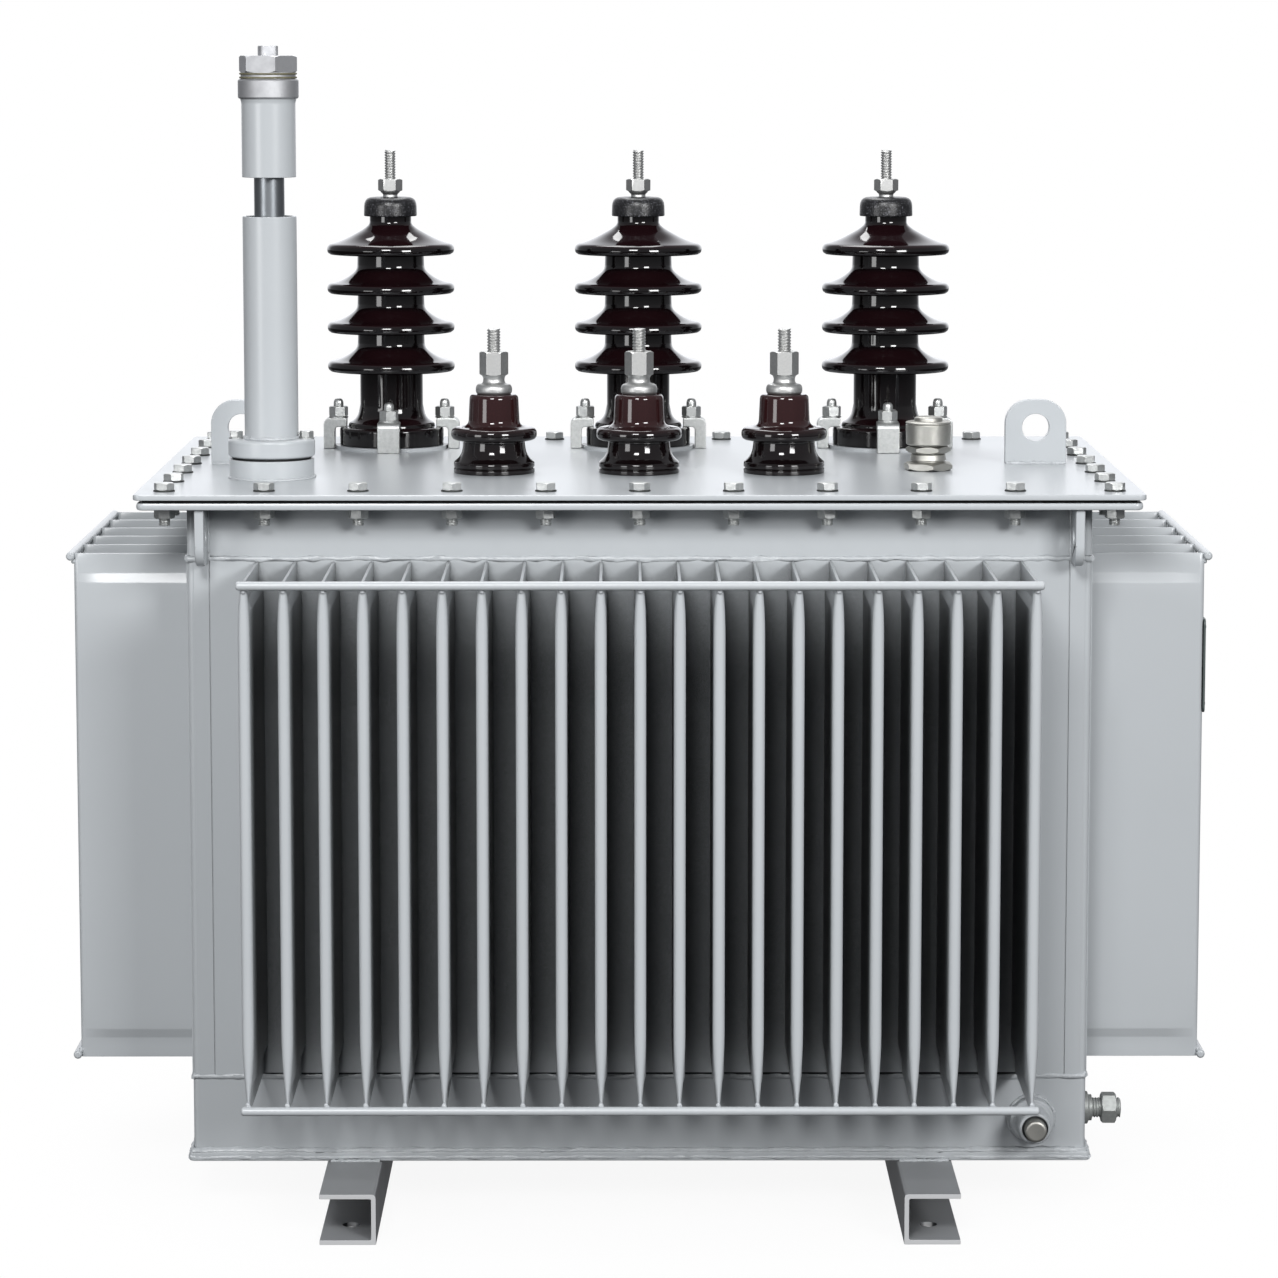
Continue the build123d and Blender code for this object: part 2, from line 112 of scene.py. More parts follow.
# %% World: white to the eye, dim to the object except for the backdrop behind it
world = bpy.data.worlds.new("white studio")
bpy.context.scene.world = world
world.use_nodes = True
sky = world.node_tree
direction = add(sky, "TexCoord").outputs["Generated"]
axes = add(sky, "SeparateXYZ", links={"Vector": direction})
backdrop = add(
    sky, "MapRange", {"From Min": 0.7, "From Max": 0.97, "To Min": 0.36, "To Max": 1.6},
    {"Value": axes.outputs["Y"]}, interpolation_type="SMOOTHSTEP",
)
above_ground = add(
    sky, "MapRange", {"From Min": -0.12, "From Max": 0.06, "To Min": 0.15, "To Max": 1.0},
    {"Value": axes.outputs["Z"]}, interpolation_type="SMOOTHSTEP",
)
brightness = add(
    sky, "Math", links={0: backdrop.outputs["Result"], 1: above_ground.outputs["Result"]},
    operation="MULTIPLY",
)
room = add(sky, "Background", {"Color": linear("F8FAFF")}, {"Strength": brightness.outputs[0]})
paper_white = add(sky, "Background", {"Color": linear("FFFFFF"), "Strength": 1.0})
to_the_eye = add(sky, "LightPath").outputs["Is Camera Ray"]
seen = add(sky, "MixShader", links={"Fac": to_the_eye, 1: room.outputs[0], 2: paper_white.outputs[0]})
sky.links.new(seen.outputs[0], sky.nodes["World Output"].inputs["Surface"])
bpy.context.scene.view_settings.view_transform = "Standard"
print("world", world.name)


# %% Softboxes
def softbox(name, place, aim, width, height, watts):
    """An area light at place, turned to aim, that the camera itself doesn't see."""
    turn = (Vector(aim) - Vector(place)).to_track_quat("-Z", "Y").to_euler()
    bpy.ops.object.light_add(type="AREA", location=place, rotation=turn)
    light = bpy.context.object
    light.name = name
    light.data.shape = "RECTANGLE"
    light.data.size, light.data.size_y = width, height
    light.data.energy = watts
    light.visible_camera = False


fins_middle, lid_middle, low_middle = (0, 0, 0.75), (0, 0, 0.8), (0, 0, 0.6)
softbox("softbox_left", (-0.7, -4.2, 3.05), fins_middle, width=1.2, height=1.0, watts=135)
softbox("softbox_right", (2.3, -4.0, 2.15), fins_middle, width=1.4, height=1.0, watts=128)
softbox("softbox_far_left", (-3.2, -3.4, 1.2), low_middle, width=1.4, height=1.4, watts=42)
softbox("softbox_above", (-0.2, 1.6, 3.9), lid_middle, width=1.6, height=2.6, watts=80)

# %% Floor
floor_radius = 0.8
floor_cover, cover_radius = 0.08, 0.3
bpy.ops.mesh.primitive_circle_add(vertices=96, radius=floor_radius, fill_type="NGON", location=(0, 0, 0))
floor = bpy.context.object
floor.name = "studio_floor"
# Paper is matt and nearly white, and gives the eye no highlight, only a soft shadow.
paper = bpy.data.materials.new("white paper floor")
paper.use_nodes = True
paper_tree = paper.node_tree
paper_shader = paper_tree.nodes["Principled BSDF"]
paper_shader.inputs["Roughness"].default_value = 0.9
paper_shader.inputs["Base Color"].default_value = linear("F7F7F7")
on_floor = add(paper_tree, "TexCoord").outputs["Object"]
from_middle = add(paper_tree, "VectorMath", links={0: on_floor}, operation="LENGTH")
fading = add(
    paper_tree, "MapRange",
    {"From Min": cover_radius, "From Max": floor_radius, "To Min": floor_cover, "To Max": 0.0},
    {"Value": from_middle.outputs["Value"]}, interpolation_type="SMOOTHSTEP",
)
paper_tree.links.new(fading.outputs["Result"], paper_shader.inputs["Alpha"])
floor.data.materials.append(paper)
print("floor radius", floor_radius, "m")

# %% [markdown]
# ## Finishes
# Every finish starts as one mottled surface: object-space noise breaks the colour between two
# near tones, a second noise varies the gloss and a third, much finer, gives the bump. The sizes
# of the three are real sizes in millimetres, so the pattern is right on a nut and on a wall.

# %% A mottled surface
def mottled(name, tones, patch, gloss, grain, relief, metallic=0.0, ior=None):
    """A Principled material: two sRGB tones in patches of a size in mm, roughness from and to,
    and bumps of a grain size and a height in mm."""
    material = bpy.data.materials.new(name)
    material.use_nodes = True
    tree = material.node_tree
    shader = tree.nodes["Principled BSDF"]
    shader.inputs["Metallic"].default_value = metallic
    if ior:
        shader.inputs["IOR"].default_value = ior
    place = add(tree, "TexCoord").outputs["Object"]
    cloud = add(tree, "TexNoise", {"Scale": 1 / (patch * MM), "Detail": 4.0}, {"Vector": place})
    colour = add(
        tree, "MixRGB", {"Color1": linear(tones[0]), "Color2": linear(tones[1])},
        {"Fac": cloud.outputs["Fac"]},
    )
    tree.links.new(colour.outputs["Color"], shader.inputs["Base Color"])
    rough = add(
        tree, "MapRange", {"From Min": 0.2, "From Max": 0.8, "To Min": gloss[0], "To Max": gloss[1]},
        {"Value": cloud.outputs["Fac"]},
    )
    tree.links.new(rough.outputs["Result"], shader.inputs["Roughness"])
    grit = add(tree, "TexNoise", {"Scale": 1 / (grain * MM), "Detail": 2.0}, {"Vector": place})
    bump = add(tree, "Bump", {"Strength": 1.0, "Distance": relief * MM}, {"Height": grit.outputs["Fac"]})
    tree.links.new(bump.outputs["Normal"], shader.inputs["Normal"])
    print("finish", name)
    return material


# %% A tint, and two masks for it: painted shade in shut-in places, and facing
def tinted(material, tone, mask, blend="MIX"):
    """Mixes a tone into a finish by a mask's output."""
    tree = material.node_tree
    target = tree.nodes["Principled BSDF"].inputs["Base Color"]
    plain = target.links[0].from_socket
    mixed = add(
        tree, "MixRGB", {"Color2": linear(tone)}, {"Fac": mask, "Color1": plain}, blend_type=blend)
    tree.links.new(mixed.outputs["Color"], target)


def shade_shut_in(material, reach, tone):
    """Mixes a dark tone in, as painted shade, where walls closer than a reach in mm shut a surface in."""
    tree = material.node_tree
    openness = add(tree, "AmbientOcclusion", {"Distance": reach * MM}, samples=10)
    depth = add(
        tree, "MapRange", {"From Min": 0.15, "From Max": 0.38, "To Min": 1.0, "To Max": 0.0},
        {"Value": openness.outputs["AO"]}, interpolation_type="SMOOTHSTEP",
    )
    tinted(material, tone, depth.outputs["Result"])


def facing(material, axis, start, end, most, tone):
    """Mixes a tone in where the surface normal's part along an axis goes from start to end."""
    tree = material.node_tree
    normal = add(tree, "SeparateXYZ", links={"Vector": add(tree, "NewGeometry").outputs["Normal"]})
    share = add(
        tree, "MapRange", {"From Min": start, "From Max": end, "To Min": 0.0, "To Max": most},
        {"Value": normal.outputs[axis]}, interpolation_type="SMOOTHSTEP",
    )
    tinted(material, tone, share.outputs["Result"])


# %% [markdown]
# The tank is sprayed with a light grey gloss enamel. Between the fins little light reaches, so those
# walls are almost black; a mask for shut-in places paints that shade into the colour. The feet have
# a darker, duller coat, and their ends that face the front are painted paler, as painted light from
# the lamps. Their uprights stand in deep shade under the tank, and a darker tone there stands in for
# part of it. A roughness that crosses about 0.27 draws faint contour lines in the render, so the
# paints stay above 0.28.

# %% Painted steel
# Sprayed enamel: an even light grey, with soft broad reflections.
enamel = mottled("grey enamel on steel", ("ACB0B3", "B1B5B8"), 160, (0.28, 0.31), 5, 0.04, ior=1.5)
# Painted shade: the walls between the fins and other shut-in places are darkened towards near black.
shade_shut_in(enamel, 80, "1D2122")
# Brushed enamel: mid-grey and dull, so that the feet stay quiet under the bright tank.
foot_enamel = mottled("grey enamel on the feet", ("85878A", "8E9092"), 90, (0.32, 0.40), 5, 0.06, ior=1.5)
shade_shut_in(foot_enamel, 60, "202123")
# Painted light: the foot ends that face the front and its lamps are painted paler.
facing(foot_enamel, "Y", -0.8, -0.95, 0.9, "B6B7B8")
for inward in (-1, 1):
    facing(foot_enamel, "X", 0.6 * inward, 0.9 * inward, 0.88, "1C1D1F")
# Enamel over weld beads: paint breaks on the lumps into small light and dark flecks.
weld_enamel = mottled("grey enamel on welds", ("A3A7AA", "B9BDC0"), 5, (0.28, 0.34), 3, 0.6, ior=1.5)
shade_shut_in(weld_enamel, 80, "1D2122")
print("paints", enamel.name, foot_enamel.name, weld_enamel.name)

# %% [markdown]
# The glaze is a black-brown. Its upward-facing sides are painted a lighter red-brown, as painted
# light from above. The heads of the short bushings are glazed the reddest.

# %% Porcelain
# Fired glaze: a wet black-brown with sharp white reflections.
glaze = mottled("black-brown glazed porcelain", ("060405", "0B0607"), 60, (0.05, 0.09), 16, 0.04, ior=1.5)
# Painted light from above: upward-facing sides are mixed towards a lighter red-brown.
facing(glaze, "Z", 0.2, 0.95, 0.8, "1D0D10")
# The same glaze, thinner: a dark red that shows on the heads of the short bushings.
red_glaze = mottled("red-brown glazed porcelain", ("080506", "100809"), 40, (0.05, 0.09), 16, 0.04, ior=1.5)
red_tree = red_glaze.node_tree
head_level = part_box("lv_bushing_2")[0].z + 50 * MM
height = add(red_tree, "SeparateXYZ", links={"Vector": add(red_tree, "TexCoord").outputs["Object"]})
on_head = add(
    red_tree, "MapRange", {"From Min": head_level - 8 * MM, "From Max": head_level + 4 * MM, "To Max": 0.9},
    {"Value": height.outputs["Z"]}, interpolation_type="SMOOTHSTEP",
)
tinted(red_glaze, "2A1314", on_head.outputs["Result"])
print("glazes", glaze.name, red_glaze.name)

# %% [markdown]
# The caps are moulded from rubber with light flecks in it, and rubber or fibre seals every joint.
# They are all dull next to the glaze, which is how the eye tells them from it.

# %% Rubber and seals
# Moulded rubber: black with a low sheen. Fine flecks wouldn't show, so they are drawn coarser than
# real ones.
speck_size = 1.2
cap_rubber = mottled("speckled black rubber", ("08080A", "111114"), 20, (0.28, 0.38), 1.6, 0.2, ior=1.5)
rubber_tree = cap_rubber.node_tree
speck_noise = add(
    rubber_tree, "TexNoise", {"Scale": 1 / (speck_size * MM), "Detail": 1.0},
    {"Vector": add(rubber_tree, "TexCoord").outputs["Object"]},
)
specks = add(
    rubber_tree, "MapRange", {"From Min": 0.6, "From Max": 0.7, "To Min": 0.0, "To Max": 1.0},
    {"Value": speck_noise.outputs["Fac"]},
)
tinted(cap_rubber, "6C6C72", specks.outputs["Result"])
# Cut gasket: matt black, a plain dark line.
gasket_rubber = mottled("black gasket rubber", ("0C0C0C", "181818"), 12, (0.6, 0.8), 2, 0.1, ior=1.5)
# Pressed fibre: a dry olive brown, the only warm line on the filler.
seal_fibre = mottled("brown fibre seal", ("7A765C", "45422F"), 5, (0.6, 0.8), 1.5, 0.1, ior=1.5)
# Near black, as painted shade: a strip in the open joint under the wall sheets and a ring in the
# drain's recess stand for the shadow there.
shade_black = mottled("near-black painted shade", ("121517", "1C2022"), 15, (0.6, 0.8), 3, 0.1, ior=1.5)
print("seals", gasket_rubber.name, seal_fibre.name, shade_black.name)

# %% [markdown]
# Terminals are tinned, bolts and claws are dipped in zinc, and the fittings are turned from nickel
# plated brass or aluminium. Each metal has its own tone and blur, and small patches break its
# reflections, because none of these faces is polished.

# %% Bare metals
# Tin: bright and slightly cloudy.
tinned = mottled("tinned steel", ("D2D2D0", "A4A5A5"), 4, (0.38, 0.52), 1.2, 0.06, metallic=1.0)
# Hot-dip zinc: light, frosted and grainy.
zinc = mottled("galvanised zinc", ("D2D3D2", "9FA2A1"), 4, (0.34, 0.5), 1.5, 0.14, metallic=0.9)
# Zinc after some years outside: a chalky grey film takes most of the shine.
old_zinc = mottled("weathered zinc", ("B2B5B3", "8E918F"), 5, (0.42, 0.55), 1.5, 0.14, metallic=0.45)
# Dark zinc, as painted shadow: each washer outlines its bolt head as the shadow under the head would.
shadow_zinc = mottled("dark zinc for painted shadow", ("4E504F", "2E3030"), 5, (0.5, 0.65), 1.5, 0.14, metallic=0.6)
# Turned nickel plate: a warm grey with blurred streaks of light.
nickel = mottled("turned nickel plate", ("BCBBB6", "A3A29C"), 9, (0.42, 0.52), 1.2, 0.03, metallic=1.0)
# Turned aluminium: cool and satin, with no sharp reflection.
aluminium = mottled("bare turned aluminium", ("C4C5C7", "ABACAF"), 10, (0.54, 0.64), 1.2, 0.05, metallic=1.0)
# Drawn tube: dark with one light streak along it.
tube_metal = mottled("bright drawn tube", ("8E9296", "7C8084"), 20, (0.34, 0.40), 8, 0.02, metallic=1.0)
print("metals", [metal.name for metal in (tinned, zinc, old_zinc, shadow_zinc, nickel, aluminium, tube_metal)])

# %% [markdown]
# ## Working by hand in code
# In Blender a piece starts as a primitive and is shaped in edit mode. These few helpers do what
# the mouse does: make one object active, pick points or edges by their place, set a modifier and
# apply it, put a piece where it belongs, and copy or join pieces.

# %% Selecting and modifying
def only(piece):
    """Selects this piece alone and makes it active."""
    bpy.ops.object.select_all(action="DESELECT")
    piece.select_set(True)
    bpy.context.view_layer.objects.active = piece


def editing(piece):
    """Opens a piece in edit mode with everything selected."""
    only(piece)
    bpy.ops.object.mode_set(mode="EDIT")
    bpy.ops.mesh.select_all(action="SELECT")


def pick(kind, wanted):
    """In edit mode, selects only the VERT, EDGE or FACE elements that wanted() accepts."""
    bpy.ops.mesh.select_mode(type=kind)
    bpy.ops.mesh.select_all(action="DESELECT")
    mesh = bpy.context.object.data
    shape = bmesh.from_edit_mesh(mesh)
    for element in {"VERT": shape.verts, "EDGE": shape.edges, "FACE": shape.faces}[kind]:
        element.select_set(bool(wanted(element)))
    bmesh.update_edit_mesh(mesh)


def modified(piece, kind, **settings):
    """Adds a modifier with these settings and applies it."""
    only(piece)
    bpy.ops.object.modifier_add(type=kind)
    modifier = piece.modifiers[-1]
    for name, value in settings.items():
        setattr(modifier, name, value)
    bpy.ops.object.modifier_apply(modifier=modifier.name)
    return piece


def bevelled(piece, width, angle, segments=2, clamp=False):
    """Rounds the edges that are sharper than an angle in degrees, by a width in mm."""
    return modified(
        piece, "BEVEL", width=width * MM, segments=segments, limit_method="ANGLE",
        angle_limit=math.radians(angle), use_clamp_overlap=clamp,
    )


def closed(piece):
    """Merges doubled points and turns every face outwards."""
    editing(piece)
    bpy.ops.mesh.remove_doubles(threshold=0.01 * MM)
    bpy.ops.mesh.normals_make_consistent(inside=False)
    bpy.ops.object.mode_set(mode="OBJECT")
    return piece


# %% Placing, copying and joining
def placed(piece, at, turn=(0, 0, 0)):
    """Turns a piece by degrees and moves it by mm, with the move applied to its mesh."""
    only(piece)
    piece.rotation_euler = [math.radians(angle) for angle in turn]
    piece.location = [v * MM for v in at]
    bpy.ops.object.transform_apply(location=True, rotation=True, scale=True)
    return piece


def joined(pieces):
    """Makes one object of several."""
    only(pieces[0])
    for piece in pieces:
        piece.select_set(True)
    bpy.ops.object.join()
    return bpy.context.object


def copies(master, places):
    """Copies a master to places of (x, y, z) or (x, y, z, turn about Z) and joins the copies."""
    made = []
    for x, y, z, *turn in places:
        only(master)
        bpy.ops.object.duplicate(linked=False)
        made.append(placed(bpy.context.object, (x, y, z), (0, 0, turn[0] if turn else 0)))
    bpy.data.objects.remove(master)
    return joined(made)


def keep(piece, name, finish, slot, *nodes, angle=35):
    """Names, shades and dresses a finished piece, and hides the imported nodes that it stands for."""
    only(piece)
    bpy.ops.object.shade_smooth_by_angle(angle=math.radians(angle))
    modified(piece, "WEIGHTED_NORMAL", keep_sharp=True)
    piece.name = name
    piece.data.name = name
    piece.data.materials.clear()
    piece.data.materials.append(finish)
    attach(piece, "root")
    if nodes:
        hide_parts(*nodes)
    print("made", name, "with", len(piece.data.polygons), "faces")
    return piece


# %% [markdown]
# ## Plates and castings with rounded edges
# No real edge is perfectly sharp: paint pulls back from it and it catches the light. The plates
# could be drawn again, but their outlines are already right in the frame, so each one is a copy
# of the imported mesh, merged, with its flat faces made whole and its sharp edges bevelled.

# %% A softened copy
def softened(node, width, segments=2):
    """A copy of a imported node's mesh with rounded edges of this width in mm."""
    mesh = bpy.data.objects[node].data.copy()
    piece = bpy.data.objects.new(node + "_copy", mesh)
    bpy.context.collection.objects.link(piece)
    editing(piece)
    bpy.ops.mesh.customdata_custom_splitnormals_clear()
    bpy.ops.mesh.remove_doubles(threshold=0.01 * MM)
    bpy.ops.mesh.dissolve_limited(angle_limit=math.radians(0.5))
    bpy.ops.object.mode_set(mode="OBJECT")
    return bevelled(piece, width, 30, segments)


# %% Tank, base, flange, lid, eyes and lugs
sheet_edge = 0.9
lug_edge = 2.2
for node, name, edge in (
    ("tank_body", "tank_shell", 1.5),
    ("base_plate", "base_sheet", 2.0),
    ("top_flange", "flange_frame", 2.8),
    ("lid", "lid_sheet", 1.4),
    ("lifting_eye_left", "eye_plate_left", sheet_edge),
    ("lifting_eye_right", "eye_plate_right", sheet_edge),
    ("lug_front_left", "lug_plate_front_left", lug_edge),
    ("lug_front_right", "lug_plate_front_right", lug_edge),
    ("lug_rear_left", "lug_plate_rear_left", lug_edge),
    ("lug_rear_right", "lug_plate_rear_right", lug_edge),
):
    keep(softened(node, edge), name, enamel, "tank_paint", node)

# %% Cast claws
cast_edge = 1.2
for i in (1, 2, 3):
    keep(softened("hv_clamps_%d" % i, cast_edge), "claws_%d" % i, zinc, "zinc", "hv_clamps_%d" % i)

# %% Rods with rounded ends, and the seats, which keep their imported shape
for bank_name in ("front", "rear", "left", "right"):
    rods = bank_name + "_fin_rods"
    keep(softened(rods, 2.6, segments=4), bank_name + "_bars", enamel, "tank_paint", rods)
for material_slot in bpy.data.objects["hv_seats"].material_slots:
    material_slot.material = enamel
print("the seats keep their shape")

# %% [markdown]
# ## Pressed fins
# Each cooling fin is one sheet folded round a hollow and pressed flat at its top and bottom. A
# box with rounded nose edges is cut into levels; each level is then squeezed to its thickness. The
# broad faces step down to the flat lip in a short slope, and the nose, which is a fold, needs a
# longer one, most of all at the bottom.

# %% A block to start from
def block(size, centre):
    """A cube brought to a size at a place in mm, with its object at the origin."""
    bpy.ops.object.select_all(action="DESELECT")
    bpy.ops.mesh.primitive_cube_add(size=1, location=[c * MM for c in centre])
    piece = bpy.context.object
    piece.scale = [s * MM for s in size]
    bpy.ops.object.transform_apply(location=True, rotation=True, scale=True)
    return piece


def cut(places, axis):
    """In edit mode, cuts the whole mesh at places in mm along an axis, 0 for X to 2 for Z."""
    normal = [float(i == axis) for i in range(3)]
    for place in places:
        bpy.ops.mesh.select_all(action="SELECT")
        bpy.ops.mesh.bisect(plane_co=[place * MM * n for n in normal], plane_no=normal)


# %% One fin
fin_low, fin_high = (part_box("front_fins")[i].z / MM for i in (0, 1))
fin_thickness = 12.0
lip_thickness = 3.0
lip_height = 20.0
slope_height = 12.0
nose_height, top_nose_height = 75.0, 56.0
nose_blend = 32.0
nose_radius = 5.6
flat_end = 6
levels = (6, 12, 20, 22, 24, 26, 28, 30, 32, 44, 56, 68, 81)


def fin_width(level, on_nose, at_top):
    """Thickness of a fin at a level, the distance from its nearer end."""
    if not on_nose:
        swell = min(max((level - lip_height) / slope_height, 0), 1)
    elif at_top:
        swell = math.sqrt(math.sin(min(level / top_nose_height, 1) * math.pi / 2))
    else:
        swell = math.sin(min(max((level - flat_end) / nose_height, 0), 1) * math.pi / 2)
    return lip_thickness + (fin_thickness - lip_thickness) * swell


def pressed_fin(depth):
    """A fin whose root is at y = 0 and whose nose is at -depth."""
    middle = (fin_low + fin_high) / 2
    piece = block((fin_thickness, depth + 1, fin_high - fin_low), (0, (1 - depth) / 2, middle))
    nose = -depth * MM
    editing(piece)
    pick("EDGE", lambda e: all(abs(v.co.y - nose) < MM for v in e.verts)
         and abs(e.verts[0].co.z - e.verts[1].co.z) > MM)
    bpy.ops.mesh.bevel(offset=nose_radius * MM, segments=6, affect="EDGES")
    cut([fin_low + level for level in levels] + [fin_high - level for level in levels], 2)
    blend_places = (nose_blend - depth, nose_blend / 2 - depth)
    cut(blend_places, 1)
    ends = [(level, height) for level in (0,) + levels for height in (fin_low + level, fin_high - level)]
    for level, height in ends:
        for share, back, front in (
            (0.0, 1.0, blend_places[0] - 0.5),
            (0.5, blend_places[0] - 0.5, blend_places[1] - 0.5),
            (1.0, blend_places[1] - 0.5, -depth - 1),
        ):
            at_top = height > middle
            width = fin_width(level, False, at_top) * (1 - share) + fin_width(level, True, at_top) * share
            pick("VERT", lambda v: abs(v.co.z - height * MM) < 0.1 * MM
                 and front * MM <= v.co.y - 0.25 * MM < back * MM)
            bpy.ops.transform.resize(value=(width / fin_thickness, 1, 1), center_override=(0, 0, 0))
    bpy.ops.object.mode_set(mode="OBJECT")
    return bevelled(piece, 0.7, 50)


# %% Four banks of fins
def fin_bank(name, count, pitch, depth, wall, turn):
    """A row of fins along X on the front, then turned to its own wall."""
    row = [((i - (count - 1) / 2) * pitch, -wall, 0) for i in range(count)]
    bank = copies(pressed_fin(depth), row)
    placed(bank, (0, 0, 0), (0, 0, turn))
    return keep(bank, "pressed_fins_" + name, enamel, "tank_paint", name + "_fins")


tank_half_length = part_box("tank_body")[1].x / MM
tank_half_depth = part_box("tank_body")[1].y / MM
front_fins = {"count": 21, "pitch": 39.7, "depth": 181, "wall": tank_half_depth}
side_fins = {"count": 6, "pitch": 80.8, "depth": 126, "wall": tank_half_length}
fin_bank("front", turn=0, **front_fins)
fin_bank("rear", turn=180, **front_fins)
fin_bank("left", turn=-90, **side_fins)
fin_bank("right", turn=90, **side_fins)

# %% [markdown]
# ## Wall sheets
# Each wall is a corrugated sheet set between two corner posts, and a thin dark line shows where
# sheet and post meet. The line could be painted, but a real groove holds its own shadow: a slab is
# cut in strips and the narrow ones are pushed back into the wall.

# %% Grooved walls
sheet_thickness = 1.2
post_width, corner_inset = 23.5, 7
seam_width, seam_depth, seam_edge = 1.2, 2, 0.35
sheet_low, sheet_high = fin_low - 3, fin_high + 1


def wall_sheet(half_width, wall):
    """A slab on the front wall with a groove beside each corner post."""
    size = (2 * (half_width - corner_inset), 2 * sheet_thickness, sheet_high - sheet_low)
    piece = block(size, (0, -wall, (sheet_low + sheet_high) / 2))
    seam = half_width - post_width
    editing(piece)
    cut([side * seam + shift * seam_width / 2 for side in (-1, 1) for shift in (-1, 1)], 0)
    pick("FACE", lambda f: f.normal.y < -0.9
         and abs(abs(f.calc_center_median().x) - seam * MM) < seam_width * MM)
    bpy.ops.mesh.extrude_region_move(TRANSFORM_OT_translate={"value": (0, seam_depth * MM, 0)})
    bpy.ops.object.mode_set(mode="OBJECT")
    return bevelled(piece, seam_edge, 40)


walls = []
for turn, half_width, wall in (
    (0, tank_half_length, tank_half_depth), (180, tank_half_length, tank_half_depth),
    (-90, tank_half_depth, tank_half_length), (90, tank_half_depth, tank_half_length),
):
    walls.append(placed(wall_sheet(half_width, wall), (0, 0, 0), (0, 0, turn)))
keep(joined(walls), "wall_sheets", enamel, "tank_paint")

# %% [markdown]
# ## Weld beads
# The tank is welded by hand, so its seams are lumpy cords under the paint. A bead starts as a
# cylinder laid along the seam, is cut into many short rings and then swollen unevenly by a
# Displace modifier that reads a cloud texture. Round seams start as a torus.

# %% Beads
lumps = bpy.data.textures.new("weld lumps", "CLOUDS")
lumps.noise_scale = 4 * MM
lumps.noise_depth = 1
bead_sides = 8
bead_spacing = 1.4
lump_share = 1.3


def lumpy(piece, radius):
    """Swells a bead unevenly."""
    return modified(piece, "DISPLACE", texture=lumps, strength=lump_share * radius * MM, mid_level=0.5)


def bead(start, end, radius):
    """A weld from start to end in mm."""
    start, end = Vector(start) * MM, Vector(end) * MM
    along = end - start
    bpy.ops.object.select_all(action="DESELECT")
    bpy.ops.mesh.primitive_cylinder_add(
        vertices=bead_sides, radius=radius * MM, depth=along.length, location=(start + end) / 2,
        rotation=along.to_track_quat("Z", "Y").to_euler(),
    )
    piece = bpy.context.object
    bpy.ops.object.transform_apply(location=True, rotation=True, scale=True)
    editing(piece)
    line = along.normalized()
    pick("EDGE", lambda e: abs((e.verts[1].co - e.verts[0].co).normalized().dot(line)) > 0.9)
    bpy.ops.mesh.subdivide(number_cuts=max(2, int(along.length / (bead_spacing * MM))))
    bpy.ops.object.mode_set(mode="OBJECT")
    return lumpy(piece, radius)


def ring_bead(centre, ring_radius, radius, turn=(0, 0, 0)):
    """A weld round a pipe or boss."""
    bpy.ops.object.select_all(action="DESELECT")
    bpy.ops.mesh.primitive_torus_add(
        major_radius=ring_radius * MM, minor_radius=radius * MM, major_segments=72, minor_segments=bead_sides,
        location=[c * MM for c in centre], rotation=[math.radians(a) for a in turn],
    )
    piece = bpy.context.object
    bpy.ops.object.transform_apply(location=True, rotation=True, scale=True)
    return lumpy(piece, radius)


def frame_beads(half_length, half_depth, z, radius):
    """Welds along all four walls at one height."""
    corners = [(-half_length, -half_depth, z), (half_length, -half_depth, z),
               (half_length, half_depth, z), (-half_length, half_depth, z)]
    return [bead(corners[i - 1], corners[i], radius) for i in range(4)]


# %% Seams of the tank
base_low, base_high = (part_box("base_plate")[i].z / MM for i in (0, 1))
inside = 1.0
half_x, half_y = tank_half_length - inside, tank_half_depth - inside
seams = frame_beads(half_x, half_y, sheet_high + 1.5, 3.4)
seams += frame_beads(half_x, half_y, sheet_low - 1.5, 3.2)
seams += frame_beads(half_x + inside + 1, half_y + inside + 1, base_high + 0.5, 3.6)
seams += frame_beads(half_x + inside + 3.2, half_y + inside + 3.2, (base_low + base_high) / 2 - 1, 2.6)
keep(joined(seams), "tank_seams", weld_enamel, "tank_paint", angle=60)

# %% Open joint under the wall sheets
# The dark strip is painted shade: it stands for the shadow in the open joint.
joint_height = 2.4
joint_z = sheet_low + 1.6
joints = []
for bank, turn in ((front_fins, 0), (front_fins, 180), (side_fins, -90), (side_fins, 90)):
    joint_length = bank["count"] * bank["pitch"] - 8
    strip = block((joint_length, 2.0, joint_height), (0, -bank["wall"] - 0.4, joint_z))
    editing(strip)
    bpy.ops.mesh.bevel(offset=0.4 * MM, segments=2, affect="EDGES")
    bpy.ops.object.mode_set(mode="OBJECT")
    joints.append(placed(strip, (0, 0, 0), (0, 0, turn)))
keep(joined(joints), "sheet_joints", shade_black, "gasket_rubber")

# %% Welds of the lugs, eyes and feet
def extent(node):
    """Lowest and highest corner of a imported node, in mm."""
    return [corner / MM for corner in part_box(node)]


